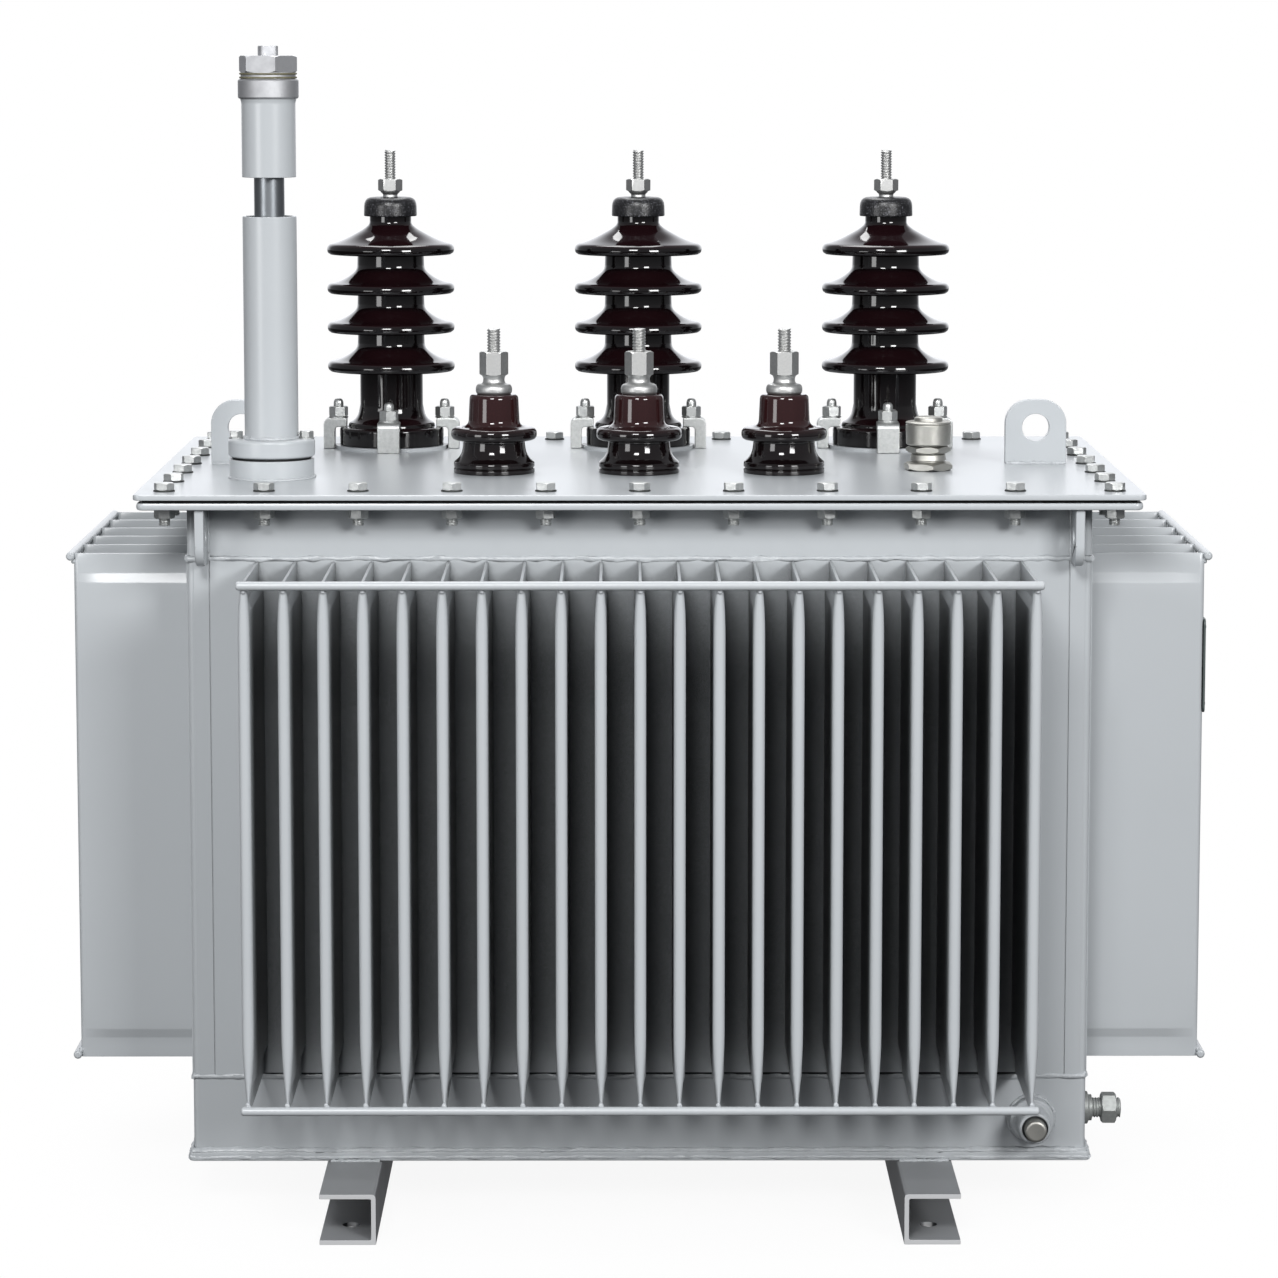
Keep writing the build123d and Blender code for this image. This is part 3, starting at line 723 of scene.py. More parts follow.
welds = []
for side, hand in ((-1, "left"), (1, "right")):
    lug_low, lug_high = extent("lug_front_left")
    lug_half = (lug_high.x - lug_low.x) / 2
    lug_x = side * abs(lug_low.x + lug_high.x) / 2
    for face in (-1, 1):
        wall = face * (tank_half_depth + 0.5)
        for edge in (-1, 1):
            welds.append(bead((lug_x + edge * lug_half, wall, lug_low.z + 4),
                              (lug_x + edge * lug_half, wall, lug_high.z), 1.5))
        lug_end = lug_low.z + 2
        welds.append(bead((lug_x - lug_half, wall, lug_end), (lug_x + lug_half, wall, lug_end), 3.0))
    eye_low, eye_high = extent("lifting_eye_" + hand)
    for y in (eye_low.y, eye_high.y):
        welds.append(bead((eye_low.x + 1, y, eye_low.z), (eye_high.x - 1, y, eye_low.z), 2.2))
    foot_low, foot_high = extent("foot_" + hand)
    start, end = foot_low.x + 3, foot_high.x - 3
    for face in (-1, 1):
        plate_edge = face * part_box("base_plate")[1].y / MM
        welds.append(bead((start, plate_edge, foot_high.z), (end, plate_edge, foot_high.z), 2.4))
keep(joined(welds), "bracket_welds", weld_enamel, "tank_paint", angle=60)

# %% Dabs of weld between the rods and the fin noses
rod_levels = [(fin_low + 3, 1), (fin_high - 3, -1)]
dab_places = []
for row_turn, bank in ((0, front_fins), (180, front_fins), (-90, side_fins), (90, side_fins)):
    angle = math.radians(row_turn)
    for i in range(bank["count"]):
        x = (i - (bank["count"] - 1) / 2) * bank["pitch"]
        y = -(bank["wall"] + bank["depth"] + 0.5)
        for z, way in rod_levels:
            dab_places.append((x * math.cos(angle) - y * math.sin(angle),
                               x * math.sin(angle) + y * math.cos(angle), z + way * 4.5, row_turn))
bpy.ops.object.select_all(action="DESELECT")
bpy.ops.mesh.primitive_ico_sphere_add(subdivisions=2, radius=3.2 * MM, location=(0, 0, 0))
dab = bpy.context.object
dab.scale = (0.95, 0.8, 1.15)
bpy.ops.object.transform_apply(location=True, rotation=True, scale=True)
dabs = lumpy(copies(lumpy(dab, 2.0), dab_places), 1.2)
keep(dabs, "rod_dabs", weld_enamel, "tank_paint", angle=60)

# %% [markdown]
# ## Turning on a lathe
# Porcelain, caps, studs and pipe fittings are round, so each is an outline spun about an upright
# axis. The outline is drawn by extruding one point from corner to corner. A corner may carry a
# softness, the distance from it at which a smooth curve takes over.

# %% Outline and spin
def softened_corners(corners, steps=5):
    """Points of an outline of (radius, height) or (radius, height, softness) corners."""
    points = []
    for i, (radius, height, *soft) in enumerate(corners):
        here = Vector((radius, height))
        if not soft:
            points.append(here)
            continue
        start = here + (Vector(corners[i - 1][:2]) - here).normalized() * soft[0]
        end = here + (Vector(corners[i + 1][:2]) - here).normalized() * soft[0]
        for k in range(steps + 1):
            share = k / steps
            points.append(start.lerp(here, share).lerp(here.lerp(end, share), share))
    return points


def drawn(points):
    """An open chain of edges through (x, z) points in mm, drawn by extruding one point."""
    bpy.ops.object.select_all(action="DESELECT")
    bpy.ops.mesh.primitive_plane_add(size=MM, location=(0, 0, 0))
    piece = bpy.context.object
    bpy.ops.object.mode_set(mode="EDIT")
    bpy.ops.mesh.select_mode(type="VERT")
    bpy.ops.mesh.select_all(action="SELECT")
    bpy.ops.mesh.merge(type="CENTER")
    last = Vector((0, 0))
    for i, point in enumerate(points):
        step = (Vector(point) - last) * MM
        move = {"value": (step.x, 0, step.y)}
        if i:
            bpy.ops.mesh.extrude_vertices_move(TRANSFORM_OT_translate=move)
        else:
            bpy.ops.transform.translate(**move)
        last = Vector(point)
    bpy.ops.object.mode_set(mode="OBJECT")
    return piece


def turned(corners, steps=96):
    """A piece turned about the Z axis at the origin."""
    piece = drawn(softened_corners(corners))
    editing(piece)
    bpy.ops.mesh.spin(steps=steps, angle=2 * math.pi, center=(0, 0, 0), axis=(0, 0, 1))
    bpy.ops.object.mode_set(mode="OBJECT")
    return closed(piece)


# %% [markdown]
# ## Channel feet
# Each foot is a strip folded to a channel, with a round bend at the top and a tight one at the
# bottom. Its section is drawn like an outline for the lathe, closed, filled and pulled out along
# the tank, and a Boolean cuts the bolt holes near both ends.

# %% Feet
foot_sheet, top_bend, low_bend, inner_bend = 5.0, 4.5, 1.2, 2.0
hole_radius, hole_inset = 9.0, 61.0


def channel(node, web):
    """A channel in place of a packed foot, with its upright on the side of X that web gives."""
    low, high = extent(node)
    width, height = high.x - low.x, high.z - low.z
    inner = width - foot_sheet
    section = softened_corners([
        (0, 0), (width, 0, low_bend), (width, height, top_bend), (0, height), (0, height - foot_sheet),
        (inner, height - foot_sheet, inner_bend), (inner, foot_sheet, inner_bend), (0, foot_sheet), (0, 0),
    ])
    piece = drawn([(low.x + x if web > 0 else high.x - x, low.z + z) for x, z in section])
    editing(piece)
    bpy.ops.mesh.remove_doubles(threshold=0.01 * MM)
    bpy.ops.mesh.edge_face_add()
    bpy.ops.transform.translate(value=(0, low.y * MM, 0))
    bpy.ops.mesh.extrude_region_move(TRANSFORM_OT_translate={"value": (0, (high.y - low.y) * MM, 0)})
    bpy.ops.object.mode_set(mode="OBJECT")
    closed(piece)
    for y in (low.y + hole_inset, high.y - hole_inset):
        bpy.ops.object.select_all(action="DESELECT")
        bpy.ops.mesh.primitive_cylinder_add(
            vertices=48, radius=hole_radius * MM, depth=4 * foot_sheet * MM,
            location=((low.x + high.x) / 2 * MM, y * MM, low.z * MM),
        )
        drill = bpy.context.object
        modified(piece, "BOOLEAN", operation="DIFFERENCE", object=drill, solver="EXACT")
        bpy.data.objects.remove(drill)
    return bevelled(piece, 0.6, 40)


for side, web in (("left", 1), ("right", -1)):
    foot = channel("foot_" + side, web)
    keep(foot, "foot_channel_" + side, foot_enamel, "foot_paint", "foot_" + side)

# %% [markdown]
# ## Nuts, bolt heads and threads
# A real nut is a hexagon whose corners were turned off, which leaves a curved chamfer on every
# flat. A prism kept only where it overlaps a turned barrel has just that shape. A thread is one
# tooth carried round and up by the Screw modifier, then cut off square at both ends. Real pitches
# of about 2 mm are too fine to show, so threads in plain view are drawn coarser, with 3 mm or more.

# %% Hexagons and threads
def hexagon(flats, height, face_share=0.96):
    """A nut standing on the origin; a turn of 30 degrees puts a flat towards the front."""
    corner, face = 1.01 * flats / math.sqrt(3), face_share * flats / 2
    rise = (corner - face) * math.tan(math.radians(30))
    barrel = turned(
        [(0, 0), (face, 0), (corner, rise), (corner, height - rise), (face, height), (0, height)], steps=48)
    bpy.ops.object.select_all(action="DESELECT")
    bpy.ops.mesh.primitive_cylinder_add(
        vertices=6, radius=flats / math.sqrt(3) * MM, depth=(height + 2) * MM,
        location=(0, 0, height / 2 * MM),
    )
    prism = bpy.context.object
    bpy.ops.object.transform_apply(location=True, rotation=True, scale=True)
    modified(prism, "BOOLEAN", operation="INTERSECT", object=barrel, solver="EXACT")
    bpy.data.objects.remove(barrel)
    return bevelled(prism, 0.35, 40, clamp=True)


def threaded(diameter, pitch, length, tip):
    """A threaded rod standing on the origin, with a tapered tip."""
    crest = diameter / 2
    root = crest - 0.36 * pitch
    piece = drawn([
        (root, -pitch), (crest, -0.68 * pitch), (crest, -0.4 * pitch), (root, -0.1 * pitch), (root, 0)])
    modified(
        piece, "SCREW", angle=2 * math.pi, screw_offset=pitch * MM, iterations=int(length / pitch) + 3,
        steps=32, render_steps=32, use_merge_vertices=True, merge_threshold=0.005 * MM,
    )
    editing(piece)
    bpy.ops.mesh.bisect(plane_co=(0, 0, 0), plane_no=(0, 0, 1), use_fill=True, clear_inner=True)
    bpy.ops.mesh.select_all(action="SELECT")
    bpy.ops.mesh.bisect(plane_co=(0, 0, length * MM), plane_no=(0, 0, 1), use_fill=True, clear_outer=True)
    cut([length - tip], 2)
    pick("VERT", lambda v: v.co.z > (length - 0.05) * MM)
    bpy.ops.transform.resize(value=((crest - tip) / crest,) * 2 + (1,), center_override=(0, 0, length * MM))
    bpy.ops.object.mode_set(mode="OBJECT")
    return closed(piece)


# %% [markdown]
# Bolts run all round the rim of the lid, and no two stop at the same angle. So each head and nut is
# a copy of one master at a random turn; a fixed seed gives the same turns every time.

# %% Lid bolts
random.seed(7)
lid_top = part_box("lid")[1].z / MM
flange_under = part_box("top_flange")[0].z / MM
bolt_x, bolt_y = 491.0, 294.0
bolt_pitch, bolts_each_way, bolt_columns = 97.0, 4, 7
bolt_spots = [(-bolt_x, -bolt_y), (-bolt_x, bolt_y), (bolt_x, -bolt_y), (bolt_x, bolt_y)]
for i in range(-bolts_each_way, bolts_each_way + 1):
    bolt_spots += [(i * bolt_pitch, -bolt_y), (i * bolt_pitch, bolt_y)]
for i in range(1, bolt_columns - 1):
    y = bolt_y * (2 * i / (bolt_columns - 1) - 1)
    bolt_spots += [(-bolt_x, y), (bolt_x, y)]
bolt_head = placed(hexagon(19, 7.8), (0, 0, 1.2))
heads = copies(bolt_head, [(x, y, lid_top, random.uniform(0, 60)) for x, y in bolt_spots])
keep(heads, "lid_bolt_heads", zinc, "zinc")
head_washer = turned([(0, 0), (11.2, 0, 0.3), (11.2, 1.3, 0.4), (0, 1.3)], steps=40)
# The washers are painted dark as the shadow under each bolt head.
keep(copies(head_washer, [(x, y, lid_top) for x, y in bolt_spots]), "lid_bolt_washers", shadow_zinc, "zinc")

# %% Nuts under the flange
nut_washer = turned([(0, 0), (11.5, 0, 0.5), (11.5, 1.8, 0.5), (0, 1.8)], steps=40)
true_pitch = 1.75
bolt_end = threaded(11.8, true_pitch, 8, 2.0)
under_nut = joined([placed(hexagon(19, 10), (0, 0, 1.6)), nut_washer, placed(bolt_end, (0, 0, 11))])
placed(under_nut, (0, 0, 0), (180, 0, 0))
nuts = copies(under_nut, [(x, y, flange_under, random.uniform(0, 60)) for x, y in bolt_spots])
keep(nuts, "flange_nuts", zinc, "zinc")

# %% [markdown]
# ## Lid gasket
# A rubber strip is squeezed between lid and flange and shows as an uneven black line. A slab is
# opened to a frame, divided, thickened and then made slightly wavy, as squeezed rubber is.

# %% Gasket
gasket_low, gasket_high = extent("lid_gasket")
gasket_width = 40
gasket_height = gasket_high.z - gasket_low.z
bpy.ops.object.select_all(action="DESELECT")
bpy.ops.mesh.primitive_plane_add(size=1, location=(0, 0, gasket_low.z * MM))
gasket = bpy.context.object
gasket.scale = (2 * gasket_high.x * MM, 2 * gasket_high.y * MM, 1)
bpy.ops.object.transform_apply(location=True, rotation=True, scale=True)
editing(gasket)
bpy.ops.mesh.inset(thickness=gasket_width * MM)
bpy.ops.mesh.delete(type="FACE")
bpy.ops.mesh.select_all(action="SELECT")
bpy.ops.mesh.subdivide(number_cuts=40)
bpy.ops.mesh.select_all(action="SELECT")
bpy.ops.mesh.extrude_region_move(TRANSFORM_OT_translate={"value": (0, 0, gasket_height * MM)})
bpy.ops.object.mode_set(mode="OBJECT")
squeeze = bpy.data.textures.new("squeezed rubber", "CLOUDS")
squeeze.noise_scale = 45 * MM
closed(gasket)
modified(gasket, "DISPLACE", texture=squeeze, strength=1.2 * MM, mid_level=0.6)
keep(gasket, "gasket_strip", gasket_rubber, "gasket_rubber", "lid_gasket")

# %% [markdown]
# ## Tall bushings
# The high-voltage leads come out through porcelain that is thrown, turned and glazed. Four sheds
# make the surface long, so that rain leaves dry stretches below them. The upper side of a shed
# sweeps down in a hollow curve to a round rim, and its underside is nearly flat.

# %% Three of a kind
def middles(node):
    """X of the middles of three numbered nodes, in mm."""
    return [sum(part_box("%s_%d" % (node, i))[k].x for k in (0, 1)) / 2 / MM for i in (1, 2, 3)]


def three_bodies(master, spots, y, z, name, finish, node):
    """Three separate copies of a porcelain body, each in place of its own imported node."""
    for i, x in enumerate(spots, 1):
        only(master)
        bpy.ops.object.duplicate(linked=False)
        body = placed(bpy.context.object, (x, y, z))
        keep(body, "%s_%d" % (name, i), finish, "porcelain", "%s_%d" % (node, i), angle=60)
    bpy.data.objects.remove(master)


# %% Porcelain of the tall bushings
hv_low, hv_high = extent("hv_bushing_2")
hv_y = (hv_low.y + hv_high.y) / 2
hv_spots = middles("hv_bushing")
shed_radius = (hv_high.x - hv_low.x) / 2
foot_radius, shoulder_radius, core_radius, neck_radius = 59.0, 49.0, 37.5, 23.5
shed_count, shed_pitch, first_shed, half_rim = 4, 44.2, 89.5, 5.5
outline = [
    (0, 0), (foot_radius, 0, 1.5), (foot_radius, 20.5, 3.5), (shoulder_radius, 20.8, 1.5),
    (shoulder_radius, 25, 3), (core_radius + 1.5, 29, 9), (core_radius - 2, 46),
]
for i in range(shed_count):
    middle = first_shed + i * shed_pitch
    top_shed = i == shed_count - 1
    outline += [
        (core_radius - (2 if i == 0 else 0), middle - 4, 3.5), (64, middle - half_rim + 0.5, 5),
        (shed_radius, middle - half_rim, 5.4), (shed_radius, middle + half_rim, 5.4),
        (54, middle + (10 if top_shed else 8.5), 12),
    ]
    if top_shed:
        outline += [(neck_radius + 5, middle + 24, 6), (neck_radius, middle + 29, 3)]
    else:
        outline += [(core_radius + 0.5, middle + 21, 6)]
hv_height = hv_high.z - hv_low.z
outline += [(neck_radius, hv_height), (0, hv_height)]
three_bodies(turned(outline), hv_spots, hv_y, hv_low.z, "hv_porcelain", glaze, "hv_bushing")

# %% [markdown]
# A moulded cap is pulled over the neck of each porcelain, and the lead ends above it in a threaded
# stud with a nut. Four more nuts draw down the claws that hold the porcelain to the lid.

# %% Rubber caps
cap_low, cap_high = extent("hv_caps")
cap_height = cap_high.z - cap_low.z
cap_radius = (cap_high.y - cap_low.y) / 2
cap = turned([
    (0, 1.5), (neck_radius + 1, 1.5, 0.8), (neck_radius + 2, 0, 0.8), (cap_radius, 0, 1.5),
    (cap_radius - 0.6, cap_height, 10), (9, cap_height, 1), (8, cap_height - 0.8), (0, cap_height - 0.8),
])
caps = copies(cap, [(x, hv_y, cap_low.z) for x in hv_spots])
keep(caps, "rubber_caps", cap_rubber, "cap_rubber", "hv_caps", angle=50)

# %% Studs and nuts of the tall bushings
nut_flats, nut_height, stud_diameter = 24.0, 14.0, 12.0
collar_height = 6.5
stud_top = (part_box("hv_terminals")[1].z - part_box("hv_terminals")[0].z) / MM
collar = turned([
    (0, 0), (8.5, 0, 0.6), (8, 3, 1.2), (11, collar_height - 0.8, 0.8),
    (11, collar_height), (0, collar_height),
], steps=48)
stud_start = collar_height + nut_height - 3
shown_pitch = 3.0
hv_rod = threaded(stud_diameter + 0.4, shown_pitch, stud_top - stud_start, 1.8)
hv_stud = placed(hv_rod, (0, 0, stud_start))
hv_nut = placed(hexagon(nut_flats, nut_height), (0, 0, collar_height), (0, 0, 30))
terminal = joined([collar, hv_nut, hv_stud])
terminals = copies(terminal, [(x, hv_y, cap_high.z) for x in hv_spots])
keep(terminals, "hv_studs", tinned, "terminal_steel", "hv_terminals")

# %% Clamp nuts on the claws
claw_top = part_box("hv_clamps_2")[1].z / MM
claw_radius = 60.5
washer = turned([(0, 0), (11, 0, 0.5), (11, 1.8, 0.5), (0, 1.8)], steps=40)
tip = turned([(0, 12), (5.6, 12), (5.6, 18, 1.5), (4.2, 21.5, 1.8), (0, 22)], steps=32)
clamp_nut = joined([placed(hexagon(19, 11.5), (0, 0, 1.6)), washer, tip])
clamp_spots = [
    (x + claw_radius * math.cos(k * math.pi / 2), hv_y + claw_radius * math.sin(k * math.pi / 2),
     claw_top - 0.1, random.uniform(10, 50))
    for x in hv_spots for k in range(4)
]
keep(copies(clamp_nut, clamp_spots), "clamp_nuts", zinc, "zinc")

# %% [markdown]
# ## Short bushings
# The low-voltage leads carry more current at less voltage, so their porcelain is short with one
# shed, and their studs are thicker. Each ends in a long coupling nut on a heavy washer.

# %% Porcelain of the short bushings
lv_low, lv_high = extent("lv_bushing_2")
lv_y = (lv_low.y + lv_high.y) / 2
lv_spots = middles("lv_bushing")
lv_height = lv_high.z - lv_low.z
lv_shed = (lv_high.x - lv_low.x) / 2
short_porcelain = turned([
    (0, 0), (43.5, 0, 1.2), (43.5, 4.6, 0.8), (41.8, 5.6, 0.5), (43.5, 6.6, 0.8), (43.5, 11.5, 1.8),
    (41.5, 13.2, 1.2), (35, 18, 8), (33, 33, 1), (33.2, 35.2, 0.8), (40, 35.4, 1),
    (lv_shed, 35.6, 5.5), (lv_shed, 48.5, 6), (31, 49.5, 5), (27.4, 54, 3),
    (26, lv_height, 5), (0, lv_height),
])
three_bodies(short_porcelain, lv_spots, lv_y, lv_low.z, "lv_porcelain", red_glaze, "lv_bushing")

# %% Studs of the short bushings
coupling_flats, coupling_height, thick_stud = 27.0, 26.0, 14.0
neck_top = 20.0
lv_stud_top = (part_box("lv_terminals")[1].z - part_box("lv_terminals")[0].z) / MM
heavy_washer = turned([
    (0, 0), (18, 0, 1), (19.5, 2.5, 1.5), (19.5, 8, 2.5), (17, 11, 2), (12, 11.4, 2.5), (11.2, 17, 2),
    (12.6, neck_top - 0.3, 0.6), (12.6, neck_top + 0.5), (0, neck_top + 0.5),
], steps=64)
lv_start = neck_top + coupling_height - 3
thick_pitch = 3.2
lv_rod = threaded(thick_stud + 0.2, thick_pitch, lv_stud_top - lv_start, 2.6)
lv_stud = placed(lv_rod, (0, 0, lv_start))
coupling = placed(hexagon(coupling_flats, coupling_height), (0, 0, neck_top), (0, 0, 30))
lv_terminal = joined([heavy_washer, coupling, lv_stud])
lv_terminals = copies(lv_terminal, [(x, lv_y, lv_high.z) for x in lv_spots])
keep(lv_terminals, "lv_studs", tinned, "terminal_steel", "lv_terminals")

# %% [markdown]
# ## Filler and level pipe
# Oil is poured in at the top of a standing pipe, and a bare stretch of tube shows its level. Boss,
# flange, pipe and sleeve are painted; collar, seals and cap are bare. Each stage is turned by
# itself, because each is a separate part with its own finish.

# %% Painted stages
boss_low, boss_high = extent("filler_boss")
filler_x, filler_y = (boss_low.x + boss_high.x) / 2, (boss_low.y + boss_high.y) / 2


def on_filler(piece, z):
    """Puts a turned piece on the filler's axis."""
    return placed(piece, (filler_x, filler_y, z))


boss_radius = (boss_high.x - boss_low.x) / 2
boss_height = boss_high.z - boss_low.z
boss = turned([
    (0, 0), (boss_radius + 0.5, 0, 0.3), (boss_radius, 2, 0.6),
    (boss_radius, boss_height - 1, 1), (boss_radius - 1.5, boss_height - 1), (0, boss_height - 1),
])
keep(on_filler(boss, boss_low.z), "boss_ring", enamel, "tank_paint", "filler_boss")
pipe_low, pipe_high = extent("filler_pipe")
flange_radius = (pipe_high.x - pipe_low.x) / 2
pipe_radius, flange_height = 28.5, 20.5
pipe_height = pipe_high.z - pipe_low.z
pipe = turned([
    (0, 0.8), (flange_radius - 3, 0.8, 0.6), (flange_radius, 2.5, 2), (flange_radius, flange_height, 3.5),
    (pipe_radius + 1, flange_height, 0.6), (pipe_radius, flange_height + 2, 0.8),
    (pipe_radius, pipe_height, 1), (pipe_radius - 3, pipe_height, 0.8),
    (pipe_radius - 3, pipe_height - 4), (0, pipe_height - 4),
])
keep(on_filler(pipe, pipe_low.z), "standing_pipe", enamel, "tank_paint", "filler_pipe")
sleeve_low, sleeve_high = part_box("filler_sleeve")[0].z / MM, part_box("filler_sleeve")[1].z / MM
sleeve_height = sleeve_high - sleeve_low
sleeve = turned([
    (0, 3), (pipe_radius - 2.5, 3), (pipe_radius - 2.5, 0, 0.6), (pipe_radius, 0, 0.8),
    (pipe_radius, sleeve_height - 4, 1.5), (pipe_radius + 1.2, sleeve_height, 0.5), (0, sleeve_height),
])
keep(on_filler(sleeve, sleeve_low), "level_sleeve", enamel, "tank_paint", "filler_sleeve")

# %% Flange gasket and screws
ring = turned([(0, -0.6), (boss_radius - 3, -0.6, 0.3), (boss_radius - 3, 1.0, 0.3), (0, 1.0)])
keep(on_filler(ring, boss_high.z), "flange_gasket", gasket_rubber, "gasket_rubber")
screw_circle = 37.5
flange_top = pipe_low.z + flange_height
screw_head = placed(hexagon(13, 7), (0, 0, 1.2))
screw_washer = turned([(0, 0), (8, 0, 0.4), (8, 1.4, 0.4), (0, 1.4)], steps=32)
screw = joined([screw_head, screw_washer])
screw_spots = [
    (filler_x + screw_circle * math.cos(a), filler_y + screw_circle * math.sin(a), flange_top - 0.2, turn)
    for a, turn in ((math.radians(-178), 12), (math.radians(-3), 20), (math.radians(90), 5))
]
keep(copies(screw, screw_spots), "flange_screws", zinc, "zinc")

# %% [markdown]
# The bare tube is a plain cylinder that runs a little into pipe and sleeve. Above the sleeve a
# turned collar takes the hexagon cap, and a fibre ring lies in each of the two joints. The square
# head on top is a block with its upright edges rounded.

# %% Level tube
tube_low, tube_high = extent("level_tube")
tube_radius = (tube_high.x - tube_low.x) / 2
tube_height = tube_high.z - tube_low.z
tube = turned([(0, -3), (tube_radius, -3), (tube_radius, tube_height + 2), (0, tube_height + 2)])
keep(on_filler(tube, tube_low.z), "level_glass", tube_metal, "sight_glass", "level_tube")

# %% Collar, seals and cap
collar_low, collar_high = extent("filler_collar")
collar_radius = (collar_high.x - collar_low.x) / 2
band_height, spigot_radius = 20.5, 29.0
filler_collar = turned([
    (0, 0), (collar_radius - 1.2, 0, 0.6), (collar_radius, 1.5, 0.6),
    (collar_radius, band_height - 1.5, 0.6), (collar_radius - 1.5, band_height, 0.8),
    (spigot_radius, band_height, 0.4), (spigot_radius, band_height + 7), (0, band_height + 7),
])
keep(on_filler(filler_collar, collar_low.z), "pipe_collar", aluminium, "nickel", "filler_collar")
seal_master = turned([(0, -0.9), (30.4, -0.9, 0.6), (30.4, 0.9, 0.6), (0, 0.9)])
seal_levels = [collar_low.z + band_height + 1.6, collar_high.z - 1.4]
seals = copies(seal_master, [(filler_x, filler_y, z) for z in seal_levels])
keep(seals, "cap_seals", seal_fibre, "gasket_rubber")
cap_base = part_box("filler_cap")[0].z / MM
filler_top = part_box("filler_cap")[1].z / MM
hex_height = 17.5
hex_cap = placed(hexagon(55, hex_height, 1.05), (0, 0, 0), (0, 0, 18))
plug_width = 20
plug_height = filler_top - cap_base - hex_height + 1
plug_middle = (hex_height - 1 + filler_top - cap_base) / 2
plug_head = block((plug_width, plug_width, plug_height), (0, 0, plug_middle))
editing(plug_head)
pick("EDGE", lambda e: abs(e.verts[0].co.z - e.verts[1].co.z) > MM)
bpy.ops.mesh.bevel(offset=5 * MM, segments=5, affect="EDGES")
pick("FACE", lambda f: f.normal.z > 0.9)
bpy.ops.mesh.inset(thickness=1.5 * MM)
bpy.ops.object.mode_set(mode="OBJECT")
bevelled(plug_head, 1.2, 50, segments=3, clamp=True)
placed(plug_head, (0, 0, 0), (0, 0, 14))
cap_piece = on_filler(joined([hex_cap, plug_head]), cap_base)
keep(cap_piece, "hex_cap", aluminium, "nickel", "filler_cap")

# %% [markdown]
# ## Relief valve
# A spring-loaded valve on the lid lets gas out. It is screwed in by a hexagon, and above a thin
# lock nut stands the turned spring housing with its crown. The stages meet in fine dark grooves.

# %% Relief valve
valve_low, valve_high = extent("relief_valve")
valve_x, valve_y = (valve_low.x + valve_high.x) / 2, (valve_low.y + valve_high.y) / 2
valve_height = valve_high.z - valve_low.z
valve_body = turned([
    (0, 0), (21, 0), (21, 8.8, 0.8), (17, 9.4, 0.3), (17, 10.6, 0.3), (19.6, 11, 0.5),
    (18.6, 17.4, 1), (16.5, 18), (16.5, 27.2), (22.6, 27.4, 0.5), (24, 28.6, 0.6), (24.4, 49.5, 0.8),
    (23.4, 50.2, 0.3), (24.6, 50.9, 0.4), (24.6, 52, 0.4), (23, 53, 1.2), (15.4, 53, 0.6),
    (15, 57, 1), (12.5, valve_height, 1), (0, valve_height),
], steps=80)
valve = joined([
    valve_body,
    placed(hexagon(48, 8.5), (0, 0, 0), (0, 0, 8)),
    placed(hexagon(42, 7.6), (0, 0, 18.8), (0, 0, 24)),
])
keep(placed(valve, (valve_x, valve_y, valve_low.z)), "pressure_valve", nickel, "nickel", "relief_valve")

# %% [markdown]
# ## Drain and earthing stud
# Near the foot of the tank a stub with a plug lets the oil out, and a stud on the right wall takes
# the earthing strap. Both are turned upright and then laid over to point out of their walls.

# %% Drain
drain_low, drain_high = extent("drain_boss")
drain_place = ((drain_low.x + drain_high.x) / 2, drain_high.y, (drain_low.z + drain_high.z) / 2)
facing_out = (90, 0, 0)
stub = turned([
    (0, 0), (23.5, 0, 0.5), (23.5, 12.5, 1.5), (22, 14, 1), (19.5, 14, 1), (17.4, 16.5, 1.5),
    (17.4, 45, 2), (16, 48, 1.2), (13.6, 48, 0.6), (13.6, 45), (0, 45),
], steps=80)
keep(placed(stub, drain_place, facing_out), "drain_stub", enamel, "tank_paint", "drain_boss")
plug = turned([
    (0, 45), (11.4, 45), (11.4, 60, 0.6), (10.8, 61.3, 0.8), (9, 62, 0.8), (0, 62)], steps=64)
keep(placed(plug, drain_place, facing_out), "drain_screw", nickel, "nickel", "drain_plug")
# The recess ring is painted shade: near black for the shadow round the plug.
recess = turned([(11, 44.9), (13.5, 44.9), (13.5, 46.6, 0.5), (11, 46.6)], steps=64)
keep(placed(recess, drain_place, facing_out), "drain_seal", shade_black, "gasket_rubber")
drain_weld = ring_bead(drain_place, 24, 2.2, facing_out)
keep(drain_weld, "drain_weld", weld_enamel, "tank_paint", angle=60)

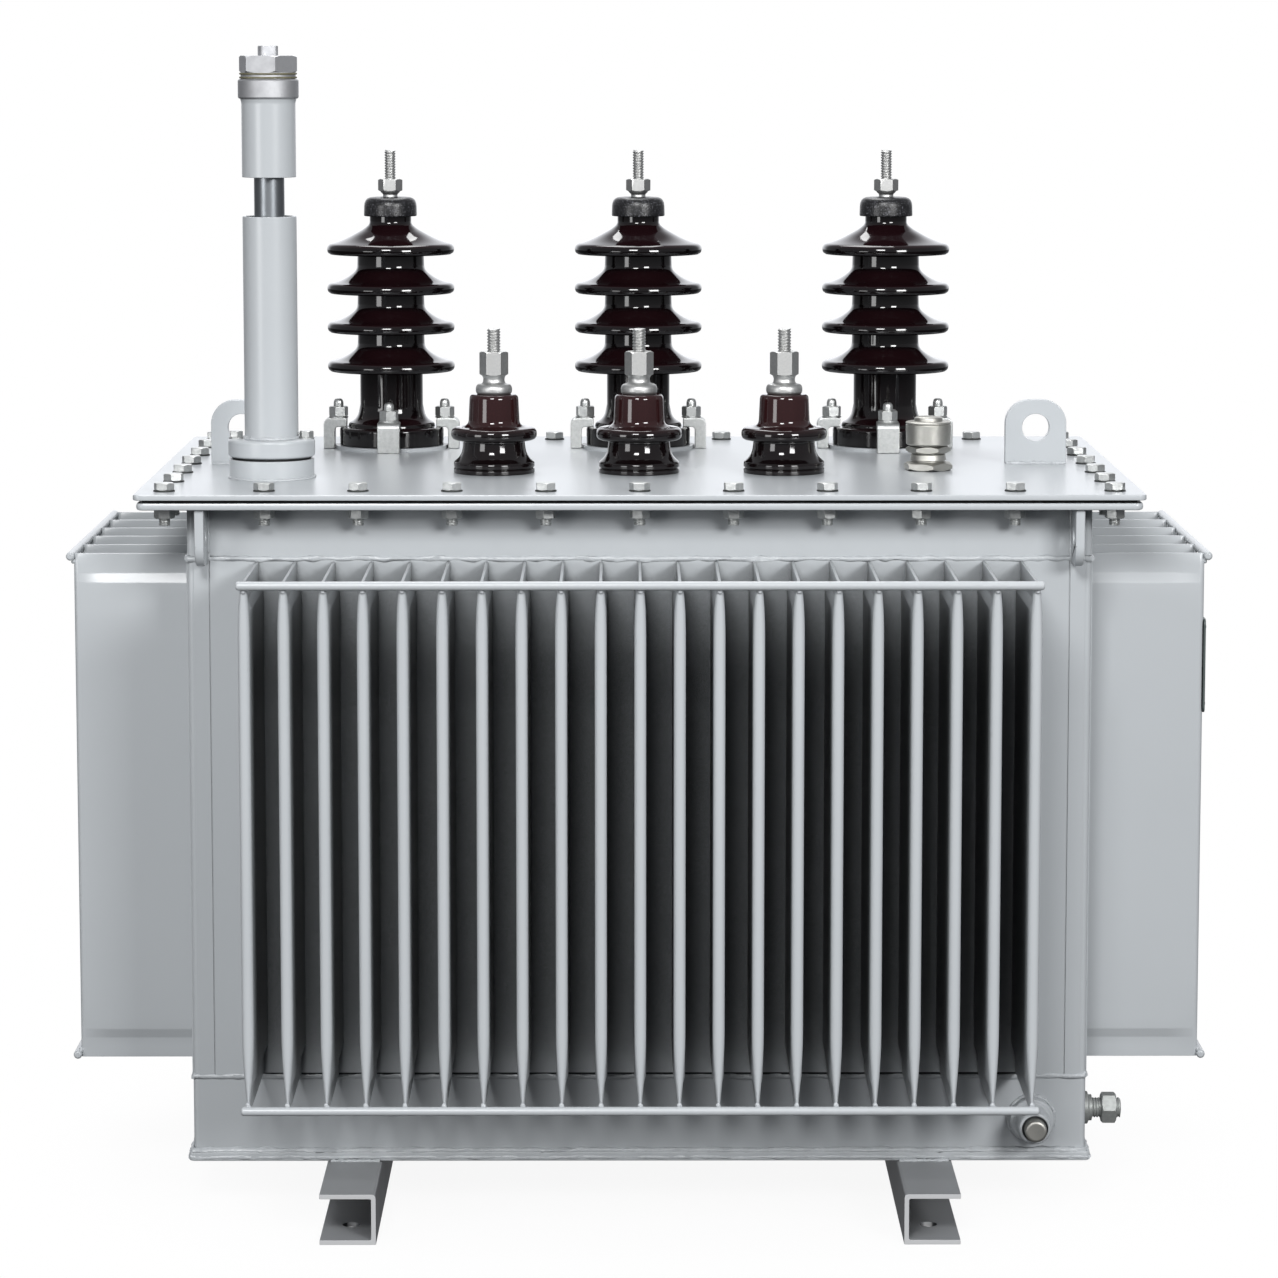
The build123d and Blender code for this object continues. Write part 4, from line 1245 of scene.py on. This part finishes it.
# %% Earthing stud
earth_low, earth_high = extent("earth_stud")
earth_y, earth_z = (earth_low.y + earth_high.y) / 2, (earth_low.z + earth_high.z) / 2
earth_length = earth_high.x - earth_low.x
earth = joined([
    turned([(0, 0), (17.5, 0, 0.6), (17.5, 9.5, 1.2), (14, 10.5, 0.8), (14, 14, 0.6), (0, 14)], steps=64),
    placed(threaded(21.4, shown_pitch, earth_length - 10, 2.5), (0, 0, 10)),
    placed(hexagon(30, 16), (0, 0, 24), (0, 0, 0)),
])
placed(earth, (earth_low.x, earth_y, earth_z), (0, 90, 0))
keep(earth, "earth_bolt", old_zinc, "zinc", "earth_stud")

# %% Ring welds of the filler
rings = [
    ring_bead((filler_x, filler_y, boss_low.z + 0.5), boss_radius, 1.8),
    ring_bead((filler_x, filler_y, flange_top + 0.5), pipe_radius, 2.0),
]
keep(joined(rings), "filler_welds", weld_enamel, "tank_paint", angle=60)

# %% [markdown]
# ## Bare plate
# A thin plate is riveted to the noses of the right-hand fins. It carries no words here. A slab with
# rounded corners and a raised rim is enough, with four rivets.

# %% Plate and rivets
# Plate enamel: a dull dark grey-green, so that the plate stands off from the light fins.
plate_paint = mottled("dark plate enamel", ("3C4443", "4C5554"), 30, (0.4, 0.5), 3, 0.03, ior=1.5)
plate_width, plate_height, plate_thickness = 138.0, 100.0, 2.2
nose_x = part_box("right_fins")[1].x / MM
plate_centre = (nose_x + plate_thickness / 2 - 0.2, -140, 570)
plate = block((plate_thickness, plate_width, plate_height), plate_centre)
editing(plate)
pick("EDGE", lambda e: abs(e.verts[0].co.x - e.verts[1].co.x) > 0.5 * MM)
bpy.ops.mesh.bevel(offset=6 * MM, segments=5, affect="EDGES")
pick("FACE", lambda f: f.normal.x > 0.9)
bpy.ops.mesh.inset(thickness=3 * MM)
bpy.ops.mesh.extrude_region_move(TRANSFORM_OT_translate={"value": (-0.4 * MM, 0, 0)})
bpy.ops.object.mode_set(mode="OBJECT")
keep(plate, "bare_plate", plate_paint, "nickel")
rivet = turned([(0, 0), (3.2, 0), (3, 1.2, 0.6), (1.5, 1.9, 0.6), (0, 2)], steps=20)
placed(rivet, (0, 0, 0), (0, 90, 0))
rivet_inset = 9
rivet_x = nose_x + plate_thickness - 0.8
rivet_spots = [
    (rivet_x, plate_centre[1] + a * (plate_width / 2 - rivet_inset),
     plate_centre[2] + b * (plate_height / 2 - rivet_inset))
    for a in (-1, 1) for b in (-1, 1)
]
keep(copies(rivet, rivet_spots), "plate_rivets", aluminium, "nickel")
